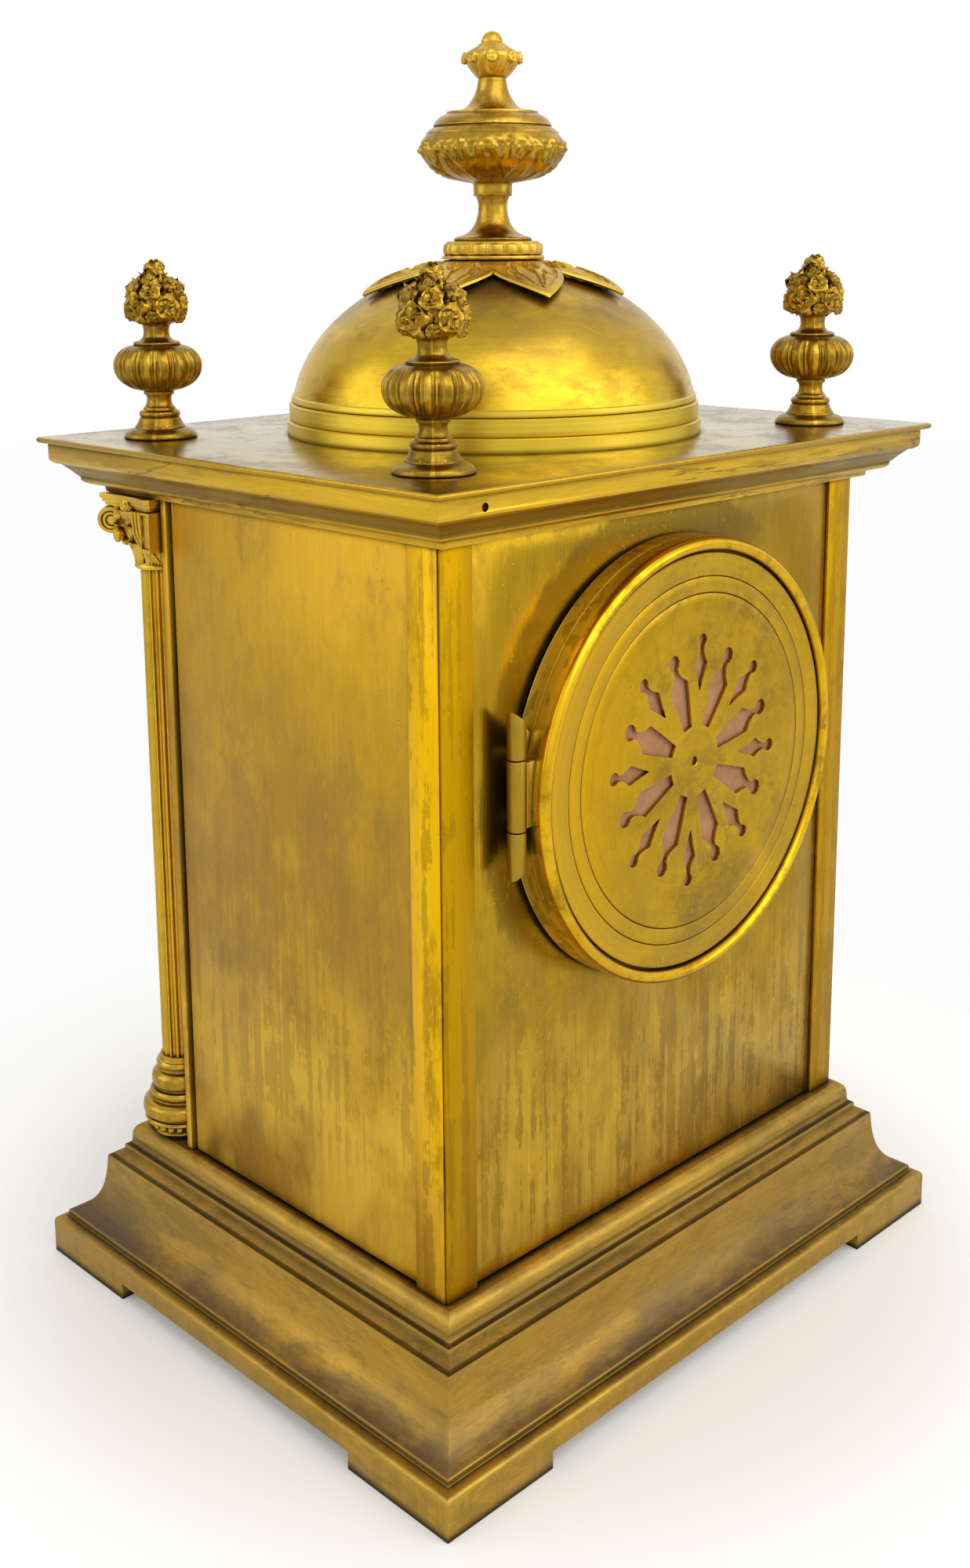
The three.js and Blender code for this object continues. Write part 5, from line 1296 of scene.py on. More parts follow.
@dataclass
class FrontColumn:
    """One front column: a ringed base, a fluted shaft and a leafy capital."""

    side: str
    x: float
    y: float = -55.2
    low: float = 40.5
    base_height: float = 23
    shaft_radius: float = 5.2
    flutes: int = 16
    flute_depth: float = 0.62
    capital_low: float = 204
    capital_high: float = 224.4
    abacus: float = 11.3
    pearls: int = 22
    base_profile: str = (
        "0,0 8.4,0! 8.5,0.7 8.2,1.3! 7.7,1.5 7.7,4! 10.4,4.1 10.8,4.5 10.4,5! 9.9,5.15 10.9,5.9 11.2,7.4 "
        "10.9,8.9 9.7,9.9! 8.6,10.1 8.4,10.6 8.6,11! 9,11.4 9.05,12.3 8.5,13! 7.6,13.2 7.5,13.7! 8.2,14.2 "
        "8.5,15.6 8.2,17.2 7.3,18.2! 6.3,18.6 6.2,19.4! 6.8,19.8 7,20.6 6.6,21.4! 5.9,21.7 5.7,23! 0,23"
    )
    bell_profile: str = (
        "0,0 5.6,0! 6.5,0.4 6.6,1.1 6.1,1.9! 5.5,2.2 5.9,5 7.6,9 9.7,12.6 10.7,15.4 10.8,16.4! 0,16.5"
    )
    scroll_profile: str = (
        "0,-1.8 1,-1.8! 1.3,-1.08 2.4,-1.08! 2.9,-1.8 3.7,-1.44 3.7,1.44 2.9,1.8 2.4,1.08! 1.3,1.08 1,1.8! "
        "0,1.8"
    )

    def build(self, shop: FinishShop) -> None:
        """Models the three parts and the pearls of the base."""
        centre = (self.x, self.y, self.low)
        base = turned(f"ringed_base_{self.side}", trace(self.base_profile, 4), 64, centre)
        pearl = ball("pearl", 1.3, (self.x + 8.6, self.y, self.low + 2.75), 12, 8)
        repeated(pearl, self.pearls, centre)
        shop.dress(merge(base, pearl), Finish.TURNED, f"column_base_{self.side}")
        self._shaft(shop)
        self._capital(shop)

    def _shaft(self, shop: FinishShop) -> None:
        """Models the fluted shaft: a ring of points drawn in where the flutes are, then pulled up."""
        clear_selection()
        per_flute = 8
        points = self.flutes * per_flute
        start = (self.low + self.base_height) * MM
        bpy.ops.mesh.primitive_circle_add(
            vertices=points, radius=self.shaft_radius * MM, fill_type="NGON", enter_editmode=True
        )
        shaft = fresh(f"fluted_shaft_{self.side}")
        for step, share in enumerate((0.55, 0.88, 1.0, 0.88, 0.55), 2):
            pick(shaft, "VERT", lambda spot, step=step: round(around(spot.co, points)) % per_flute == step)
            scale = 1 - self.flute_depth * share / self.shaft_radius
            bpy.ops.transform.resize(value=(scale, scale, 1), center_override=(0, 0, 0))
        bpy.ops.mesh.select_all(action="SELECT")
        bpy.ops.transform.translate(value=(self.x * MM, self.y * MM, start))
        pull((0, 0, self.capital_low * MM - start))
        face_out()
        leave()
        shop.dress(shaft, Finish.SHAFT, f"column_shaft_{self.side}", smooth=50)

    def _capital(self, shop: FinishShop) -> None:
        """Models the capital: astragal, bell, leaves, corner scrolls, stepped abacus and flat back."""
        low, high, ledge = self.capital_low, self.capital_high, self.capital_high - 4
        parts = [turned("capital bell", trace(self.bell_profile, 4, low), 48, (self.x, self.y, 0))]
        for share, start, end in ((0.84, 0, 1.0), (0.9, 0.8, 1.9), (0.96, 1.7, 2.9), (1.0, 2.7, 4.0)):
            parts.append(self._abacus_step(share * self.abacus, ledge + start, ledge + end))
        parts.append(self._flat_back(low, high))
        for turn in (225, 315):
            parts.append(self._scroll(turn, ledge))
            parts.append(self._leaf(turn, 1.9, 11.6, 3.9, 0, 2.4))
            parts.append(self._leaf(turn, 1.9, 7.6, 3.4, 0, 4.4))
            for side in (-1, 1):
                parts.append(self._rosette(turn + 15 * side, low + 9.6, 2.3, 1.6))
                parts.append(self._rosette(turn + 21 * side, high - 5.6, 2.2, 1.24))
        parts += [self._leaf(turn, 1.9, 7.2 + 0.9 * (turn % 60 > 0), 2.3) for turn in range(0, 360, 30)]
        parts += [self._leaf(turn + 15, 6.6, 7.4, 2.7, 5.2) for turn in (*range(180, 366, 30), 165)]
        for turn in (0, 180, 270):
            parts.append(self._rosette(turn, high - 3.0, 2.5, 1.0))
            parts += [self._rosette(turn + 19 * side, high - 6.4, 1.9, 1.02) for side in (-1, 1)]
            parts.append(self._rosette(turn, high - 8.2, 1.7, 0.98))
        capital = merge(*parts)
        wall = (0, (self.y + self.abacus) * MM, 0)
        with editing(capital):
            bpy.ops.mesh.bisect(plane_co=wall, plane_no=(0, 1, 0), clear_outer=True)
        capital.name = f"leafy_capital_{self.side}"
        shop.dress(capital, Finish.CAST, f"column_capital_{self.side}", smooth=40)

    def _abacus_step(self, half: float, low: float, high: float) -> Piece:
        """Models one layer of the abacus, a square with hollowed sides and clipped corners."""
        corners = []
        for quarter in range(4):
            out = Vector(polar(1, quarter * math.pi / 2))
            along = Vector((-out.y, out.x))
            for step in range(9):
                t = step / 4 - 1
                dip = 0 if quarter == 1 else half * 0.1 * (1 - t * t)
                spot = out * (half - dip) + along * half * 0.9 * t
                corners.append((self.x + spot.x, self.y + spot.y))
        return prism("abacus", corners, low, high)

    def _flat_back(self, low: float, high: float) -> Piece:
        """Models the flat back of the casting, with its sunk panels and its stems."""
        cx, wall = self.x, self.y + self.abacus
        top, half = high - 3.6, self.abacus * 0.93
        outline = [
            (-half, top), (half, top), (half, top - 10), (half - 1.4, top - 11.2), (5.2, low + 1),
            (-5.2, low + 1), (1.4 - half, top - 11.2), (-half, top - 10),
        ]
        back = prism("capital back", [(cx + x, z) for x, z in outline], wall - 2.6, wall, Axis.BACK)
        back = merge(back, slab("capital block", (cx - half, wall - 4.2, low + 6.2), (cx + half, wall, top)))
        stem = ((half, 0, top), (half - 0.3, 0.3, low + 11), (half - 1.6, 1.2, low + 7), (6.2, 2.4, low + 3))
        for side in (-1, 1):
            near, far = sorted((cx + side * (half - 0.6), cx + side * (half + 3)))
            cut(back, slab("side panel", (near, wall - 3.7, low + 7.2), (far, wall - 0.5, top - 0.6)))
            for step in (0, 1.5, 3):
                line = [Vector((cx + side * x, wall - 4.6 - step + y, z)) * MM for x, y, z in stem]
                back = merge(back, wire(line, 0.5))
        return back

    def _scroll(self, turn: float, top: float) -> Piece:
        """Models one corner scroll: a disc with a coiled ridge on both faces."""
        radius, face = 3.7, 1.35
        disc = turned("scroll disc", trace(self.scroll_profile, 2), 28, (0, 0, 0), Axis.BACK)
        points = []
        for step in range(27):
            t = step / 26
            x, z = polar(radius * (0.92 - 0.66 * t), t * 2.1 * FULL_TURN - math.pi / 2)
            points.append(Vector((x, 0, z)) * MM)
        ridge = wire(points, 0.42)
        twin = copied(ridge, "scroll ridge back", shifted(0, face, 0))
        settle(ridge, shifted(0, -face, 0))
        stalk = turned("scroll stalk", [(0, 0), (1.5, 0), (1.1, -6), (0, -6.6)], 12)
        sculpt(stalk, lambda spot: Vector((spot.x * 0.9 - 1.6 + 0.3 * spot.z, spot.y, spot.z - 0.8)))
        x, y = polar(self.abacus * 1.0812, math.radians(turn), self.x, self.y)
        place = shifted(x, y, top - radius * 0.84) @ turned_by(turn, "Z")
        return settle(merge(disc, ridge, twin, stalk), place)

    def _leaf(
        self, turn: float, rise: float, tall: float, wide: float, start: float = 0, spread: float = 0
    ) -> Piece:
        """Models one leaf of the capital, lobed along its sides and curled out at its tip."""
        low, angle = self.capital_low + rise, math.radians(turn)

        def place(across: float, along: float) -> Spot:
            """Lays the leaf against the bell."""
            u = across * 2 - 1
            lobes = 0.82 + 0.18 * abs(math.cos(along * math.pi * 3.5))
            width = wide * (0.55 + 0.6 * along - 0.95 * ease((along - 0.72) / 0.28)) * lobes
            curl = ease((along - 0.62) / 0.38)
            climb = (start + tall * along) / 13
            radius = 6.0 + (4.4 + spread) * climb**1.7 + 1.7 * curl
            relief = 0.55 * (1 - u * u) - 0.3 * bump(u / 0.18) + 0.22 * math.cos(u * 9) * (1 - along)
            height = low + tall * (along - 0.16 * curl * curl) - 0.5 * abs(u) * (1 - along)
            return (*polar(radius + relief, angle + u * width / radius, self.x, self.y), height)

        leaf = sheet_grid("leaf", 12, 16, place)
        thicken(leaf, 0.7, -1)
        return leaf

    def _rosette(self, turn: float, height: float, size: float, share: float) -> Piece:
        """Models a small flower against the abacus or the bell."""
        reach = self.abacus * share * (0.9 - 0.03 * (self.capital_high - height))
        x, y = polar(reach, math.radians(turn), self.x, self.y)
        place = shifted(x, y, height) @ turned_by(turn, "Z") @ turned_by(90, "Y")
        return settle(rose("capital flower", size, 5), place)


def rose(name: str, radius: float, petals: int, turns: int = 3) -> Piece:
    """Carves a rose from a ball; it looks up +Z.

    Args:
        name: the new object's name.
        radius: how far the outer petals reach.
        petals: how many petals each ring has.
        turns: how many rings of petals there are.

    Returns:
        The flower at the origin.
    """
    flower = ball(name, radius, (0, 0, 0), 30, 20)

    def move(spot: Vector) -> Vector:
        """Raises the edges of the petals and sinks what lies behind them."""
        flat = math.hypot(spot.x, spot.y) / radius
        if spot.z < -radius * 0.25:
            return Vector((spot.x * 0.8, spot.y * 0.8, spot.z * 0.8))
        angle = math.atan2(spot.y, spot.x)
        ring = flat * turns
        twist = angle + math.floor(ring) * 0.9
        frill = abs(math.cos(twist * petals / 2))
        wobble = ring + 0.28 * frill
        lip = wobble - math.floor(wobble)
        rim = 0.86 + 0.14 * abs(math.sin(angle * petals / 2 + 0.4))
        height = spot.z * 0.62 + radius * 0.24 * lip * (0.45 + 0.55 * flat) - radius * 0.1 * (1 - flat)
        return Vector((spot.x * rim, spot.y * rim, height))

    sculpt(flower, move)
    return flower


@dataclass
class CornerFinial:
    """One of the four urns with a bunch of flowers."""

    place: str
    x: float
    y: float
    foot: float = 239.3
    lobes: int = 14
    stray_seed: int = 11
    drift_seed: int = 1796062799
    profile: str = (
        "0,0 9.3,0! 9.5,0.4 9.2,1.3 8.2,2.1 6.6,2.7! 6.5,3.1 6.3,3.3 5.7,4.3 5.3,5.3! 5,5.5 5.1,5.7 5.35,6.1 "
        "5.25,6.8 4.8,7.2! 4.3,7.4 4.15,8! 3.75,8.3 3.3,9.3 3.2,10.5 3.5,11.4! 3.9,11.5 3.9,12.2! 4.6,12.5 "
        "7,13.1 9.4,14.5 11,16.6 11.5,18.9 11.1,21 9.6,22.9 7.6,24 6,24.3! 6.1,24.9 5.8,25.2! 4.4,25.6 "
        "3.5,26.6 3.3,28.1 3.6,29.4 4.6,30.3! 5.2,30.7 5,31.5! 3.4,33 2.4,38 1.8,44 0,45"
    )

    def build(self, shop: FinishShop, pattern: Piece | None) -> Piece:
        """Models the first finial, or copies it, and puts it in its corner.

        Args:
            shop: gives the finishes.
            pattern: a finial that stands at the origin, or None to model it.

        Returns:
            The pattern, for the next corner.
        """
        if pattern is None:
            pattern = self._model()
        urn = copied(pattern, f"urn_finial_{self.place}", shifted(self.x, self.y, self.foot))
        shop.dress(urn, Finish.FLOWER, f"corner_finial_{self.place}", smooth=45)
        return pattern

    def _model(self) -> Piece:
        """Models the urn and its flowers at the origin."""
        urn = turned("urn", trace(self.profile, 4), self.lobes * 18)

        def lobe(spot: Vector) -> Vector:
            """Draws the urn's surface in between its lobes."""
            band = ease((spot.z - 12.6) / 1.6) * ease((23.9 - spot.z) / 1.8)
            valley = abs(around(spot, self.lobes) % 1 * 2 - 1)
            groove = bump((valley - 0.7) / 0.3)
            share = 1 - band * (0.05 * valley**2 + 0.05 * groove - 0.012 * bump((valley - 1) / 0.2))
            return drawn_in(spot, share)

        sculpt(urn, lobe)
        bunch = merge(*self._flowers())
        drift = noise.noise_vector
        noise.seed_set(self.drift_seed)
        sculpt(bunch, lambda spot: spot + drift(spot * 0.4) * 0.75 + drift(spot * 1.4) * 0.28)
        return merge(urn, bunch)

    def _flowers(self) -> list[Piece]:
        """Models the bunch: roses round a solid heart, leaves between them, and a block of buds on top."""
        dice = random.Random(self.stray_seed)
        bloom, bud = rose("bloom", 3.7, 5), rose("bud", 3.0, 4)
        parts: list[Piece] = []
        heart = turned("heart", trace(
            "0,30.6 4.6,30.8 6.5,32.4 7.2,35 6.7,38 5,40.4 2.9,41.8 2.1,42.4 2,44 1.3,44.8 0,44.9", 3
        ), 40)
        sculpt(heart, lambda spot: spot * (
            1 + 0.035 * math.sin(spot.z * 2.9) * math.cos(math.atan2(spot.y, spot.x) * 9)
        ))
        parts.append(heart)
        for index in range(5):
            angle = FULL_TURN * (index + 0.15) / 5
            between = angle + FULL_TURN / 10
            stray = dice.uniform(-0.09, 0.09)
            lift = 34.2 + dice.uniform(-0.9, 0.7)
            parts.append(self._facing(bloom, angle + stray, 5.8, lift, 6, dice.uniform(0.88, 1.1)))
            lift = 38.2 + dice.uniform(-0.7, 0.7)
            parts.append(self._facing(bud, between - stray, 5.2, lift, 28, dice.uniform(0.9, 1.2)))
            parts.append(self._facing(bud, between, 6.6, 31.9 + dice.uniform(-0.3, 0.3), -12, 0.62))
            parts.append(self._sprig(between, 31.0, 3.6, 7.0))
            parts.append(self._sprig(angle, 36.4, 3.0, 4.6))
            parts.append(self._sprig(between, 39.0, 2.6, 3.4, 2.4))
        for level, reach, size in ((40.6, 2.4, 0.66), (42.2, 1.6, 0.58), (43.8, 1.5, 0.56)):
            for turn in range(4):
                angle = FULL_TURN * (turn + 0.4 + dice.uniform(-0.16, 0.16)) / 4
                lift = dice.uniform(-0.4, 0.4)
                parts.append(self._facing(bud, angle, reach, level + lift, 6, size * dice.uniform(0.9, 1.12)))
        parts.append(self._facing(bud, 0, 0.1, 44.2, 80, 0.8))
        for pattern in (bloom, bud):
            bpy.data.objects.remove(pattern)
        return parts

    @staticmethod
    def _facing(
        flower: Piece, angle: float, reach: float, height: float, tilt: float, size: float = 1
    ) -> Piece:
        """Copies a flower to the outside of the bunch, tilted up from the level."""
        turn = Matrix.Rotation(angle, 4, "Z") @ turned_by(90 - tilt, "Y")
        return copied(flower, "flower", shifted(*polar(reach, angle), height) @ turn @ Matrix.Scale(size, 4))

    @staticmethod
    def _sprig(angle: float, low: float, wide: float, tall: float, root: float = 5.4) -> Piece:
        """Models a leaf that lies against the bunch between the flowers."""

        def place(across: float, along: float) -> Spot:
            """Lays the leaf out from the bunch's middle."""
            u = across * 2 - 1
            wave = 0.85 + 0.15 * math.cos(along * 22)
            width = wide * math.sin(math.pi * min(1.0, along * 0.86 + 0.12)) * wave
            radius = root + 2.1 * math.sin(along * 2.6) - 0.25 * root * along * along
            out = radius + 0.4 * abs(u) - 0.35 * bump(u / 0.25)
            return (*polar(out, angle + u * width / radius / 2), low + tall * along)

        leaf = sheet_grid("sprig", 8, 12, place)
        thicken(leaf, 0.5, 0)
        return leaf


@dataclass
class Dome:
    """The spun dome with its bands and the ring of leaves round its crown."""

    deck: float = 239.3
    half_width: float = 54.7
    half_height: float = 41.7
    rise: float = 3.7
    wall: float = 1.4
    leaves: int = 8
    tip: float = 37
    notch: float = 24.8
    bands: str = (
        "53.4,0 55.6,0! 55.9,0.3 55.9,3.5! 55.3,3.8 54.8,4! 55.2,4.4 55.2,8.1! 54.7,8.4 54.3,8.6! 54.6,8.9 "
        "54.5,10.2! 54,10.5"
    )

    def height_at(self, radius: float, offset: float = 0) -> float:
        """Gives the dome's height at a radius, on its skin or a distance outside it."""
        a, b = self.half_width + offset, self.half_height + offset
        return self.deck + self.rise + b * math.sqrt(max(0.0, 1 - (radius / a) ** 2))

    def build(self, shop: FinishShop) -> None:
        """Models the shell and the collar."""
        outer = trace(self.bands, 3, self.deck)
        start = math.asin(min(1.0, (10.5 - self.rise) / self.half_height))
        for wall, count, steps in ((0, 40, range(1, 41)), (self.wall, 20, range(20, -1, -1))):
            for step in steps:
                angle = start + (math.pi / 2 - start) * step / count * 0.995
                rise = self.deck + self.rise + (self.half_height - wall) * math.sin(angle)
                outer.append(((self.half_width - wall) * math.cos(angle), rise))
        shell = turned("spun_dome", [*outer, (53.4, self.deck)], 144)
        shop.dress(shell, Finish.DOME, "dome", smooth=28)
        self._collar(shop)

    def _collar(self, shop: FinishShop) -> None:
        """Models one leaf of the collar with its border and veins, and repeats it."""
        half_step = math.pi / self.leaves

        def edge(angle: float) -> float:
            """Gives the leaf's reach at an angle from its middle line."""
            share = min(1.0, abs(angle) / half_step)
            return self.notch + (self.tip - self.notch) * (1 - share) ** 0.86

        def place(across: float, along: float) -> Spot:
            """Lays the leaf on the dome, thick along its border and veined inside."""
            angle = (across * 2 - 1) * half_step
            reach = edge(angle)
            radius = 9 + (reach - 9) * along
            side = radius * math.sin(angle)
            inside = reach - radius
            tipped = 1.25 + 0.5 * ease((radius - 22) / 14)
            border = 0.7 * ease((2.9 - inside) / 0.5) * ease((inside + 0.2) / 0.6)
            open_share = 1 if radius < self.notch else (reach - radius) / 12
            half = max(1.0, radius * math.sin(half_step) * open_share)
            along_leaf = (radius - 13) / (self.tip - 13)
            loop = 0.62 * math.sin(math.pi * min(1.0, max(0.0, along_leaf * 1.15))) ** 0.7
            offset = abs(side) / half
            veins = 0.5 * bump((offset - loop) / 0.13) + 0.4 * bump((offset - loop * 0.45) / 0.1)
            curl = 0.5 * bump(abs(math.hypot(offset - 0.4, (along_leaf - 0.28) * 1.6) - 0.16) / 0.07)
            inner = ease((inside - 3.2) / 0.8) * ease((radius - 13.5) / 2)
            lift = tipped + border + (veins + curl) * inner - 0.25 * inner
            return (*polar(radius, angle + half_step), self.height_at(radius, lift))

        leaf = sheet_grid("collar_leaf", 48, 60, place)
        repeated(leaf, self.leaves, (0, 0, self.deck))
        with editing(leaf):
            bpy.ops.mesh.remove_doubles(threshold=WELD * 10)
            bpy.ops.mesh.normals_make_consistent(inside=False)
        thicken(leaf, 0.9, -1)
        leaf.name = "leaf_collar"
        shop.dress(leaf, Finish.CAST, "dome_leaf_collar", smooth=50)


@dataclass
class TallFinial:
    """The finial on the dome: a beaded ring, a leafy urn and a bud."""

    foot: float = 285.05
    beads: int = 18
    leaves: int = 9
    ring_profile: str = (
        "2.4,0.4 12.6,0.4! 12.8,0.1 13.6,0.1! 13.7,0.5 13.6,0.9! 12.8,1.15! 13.1,1.5 13.2,2.7 13,3.8 "
        "12.6,4.15! 12.5,4.35 12.2,4.7! 2.4,4.7"
    )
    urn_profile: str = (
        "2.4,4.7 10.29,4.7! 10.39,5.34 10,5.77! 8.43,6.15 6.47,7.21 5,8.94 4.2,11.06 3.9,13.18 4,15.1 "
        "4.5,16.45! 5.1,16.74 5.15,19.5! 5.6,19.8 8.33,20.3 13.03,21.7 16.86,24.4 18.91,27.6 19.11,29.4 "
        "18.52,31.35 16.95,33.15 15.97,33.86! 15.58,33.86 15.39,34.17! 15.58,34.67 14.31,36.36 12.15,37.51! "
        "12.05,38.04! 9.21,38.25 7.06,39.18 5.6,40.93 4.3,43.4 3.6,46.7! 2.4,46.7"
    )
    bud_profile: str = (
        "2.4,46.7 3.9,46.7! 4.6,47.27 5.7,48.41 6.9,50.12 7.5,51.62 7.1,52.89 5.7,53.74 4.3,54.5 3.3,55.35! "
        "2.8,55.43 2.8,55.94 2.5,56.87 1.7,57.89 0.7,58.36 0,58.4"
    )

    def build(self, shop: FinishShop) -> None:
        """Models the three castings."""
        centre = (0, 0, self.foot)
        ring = turned("beaded_ring", [*trace(self.ring_profile, 4), (2.4, 0.4)], self.beads * 12, centre)
        sculpt(ring, self._bead)
        shop.dress(ring, Finish.CAST, "finial_base_ring", smooth=45)

        urn = turned("leafy_urn", [*trace(self.urn_profile, 6), (2.4, 4.7)], self.leaves * 24, centre)
        sculpt(urn, self._leaf)
        shop.dress(urn, Finish.TURNED, "finial_urn", smooth=40)

        bud = turned("bud_top", trace(self.bud_profile, 5), 96, centre)
        sculpt(bud, self._petal)
        knob = rose("knob", 1.75, 4, 2)
        knobs = copied(knob, "knobs", shifted(6.9, 0, self.foot + 51.6) @ turned_by(80, "Y"))
        bpy.data.objects.remove(knob)
        repeated(knobs, 8, centre)
        shop.dress(merge(bud, knobs), Finish.CAST, "finial_bud", smooth=45)

    def _bead(self, spot: Vector) -> Vector:
        """Raises the beads of the ring, broad and narrow in turn."""
        rise = spot.z - self.foot
        band = ease((rise - 1.05) / 0.6) * ease((4.4 - rise) / 0.6)
        if band <= 0 or math.hypot(spot.x, spot.y) < 11:
            return spot
        phase = around(spot, self.beads) % 1
        broad = bump((phase - 0.4) / 0.42) ** 0.5
        narrow = bump((phase - 0.92) / 0.1) * 0.5
        share = 1 + 0.045 * band * (broad + narrow - 0.6)
        return drawn_in(spot, share)

    def _leaf(self, spot: Vector) -> Vector:
        """Raises the ring of leaves on the lower half of the urn."""
        rise, radius = spot.z - self.foot, math.hypot(spot.x, spot.y)
        if not 19.9 < rise < 32.4 or radius < 5.4:
            return spot
        along = (rise - 19.9) / 10.6
        phase = abs(around(spot, self.leaves) % 1 * 2 - 1)
        tall = ease((1.06 - along) / 0.06)
        stem = bump((phase - 0.95 * max(0.0, along - 0.12) ** 0.8) / 0.11) * ease((0.9 - along) / 0.1)
        plume_wide = 0.36 * math.sin(math.pi * min(1.0, max(0.0, along)) ** 1.3) + 0.05
        plume = ease((plume_wide - phase) / 0.09) * tall
        folds = 0.2 * math.cos(phase / max(0.12, plume_wide) * 9) * plume
        curl = bump(math.hypot((phase - 0.74) * 1.7, (along - 0.8) * 2.2) / 0.42)
        eye = bump(math.hypot((phase - 0.74) * 1.7, (along - 0.8) * 2.2) / 0.15)
        husk = bump((phase - 1) / 0.16) * ease((0.72 - along) / 0.1)
        veined = ease((along - 0.1) / 0.2) * ease((0.7 - along) / 0.2)
        veins = 0.13 * math.cos((phase * 3.2 - along * 2.2) * 10) * veined
        tips = 0.34 * bump((along - 0.97) / 0.12) * abs(math.cos(phase * 6.5)) ** 0.6
        lift = 0.62 * stem + 0.5 * plume + folds + 0.75 * curl - 0.6 * eye + 0.45 * husk + veins + tips
        share = 1 + (lift - 0.3) * ease((rise - 20) / 1.5) / radius
        return drawn_in(spot, share)

    def _petal(self, spot: Vector) -> Vector:
        """Cuts folds into the bud below its smooth tip."""
        rise = spot.z - self.foot
        band = ease((rise - 47) / 1.3) * ease((55.2 - rise) / 1.4)
        angle = math.atan2(spot.y, spot.x)
        fold = abs(math.sin(angle * 4 + 0.5 * math.sin(angle * 3))) ** 0.7
        share = 1 - 0.13 * band * (1 - fold)
        return drawn_in(spot, share)


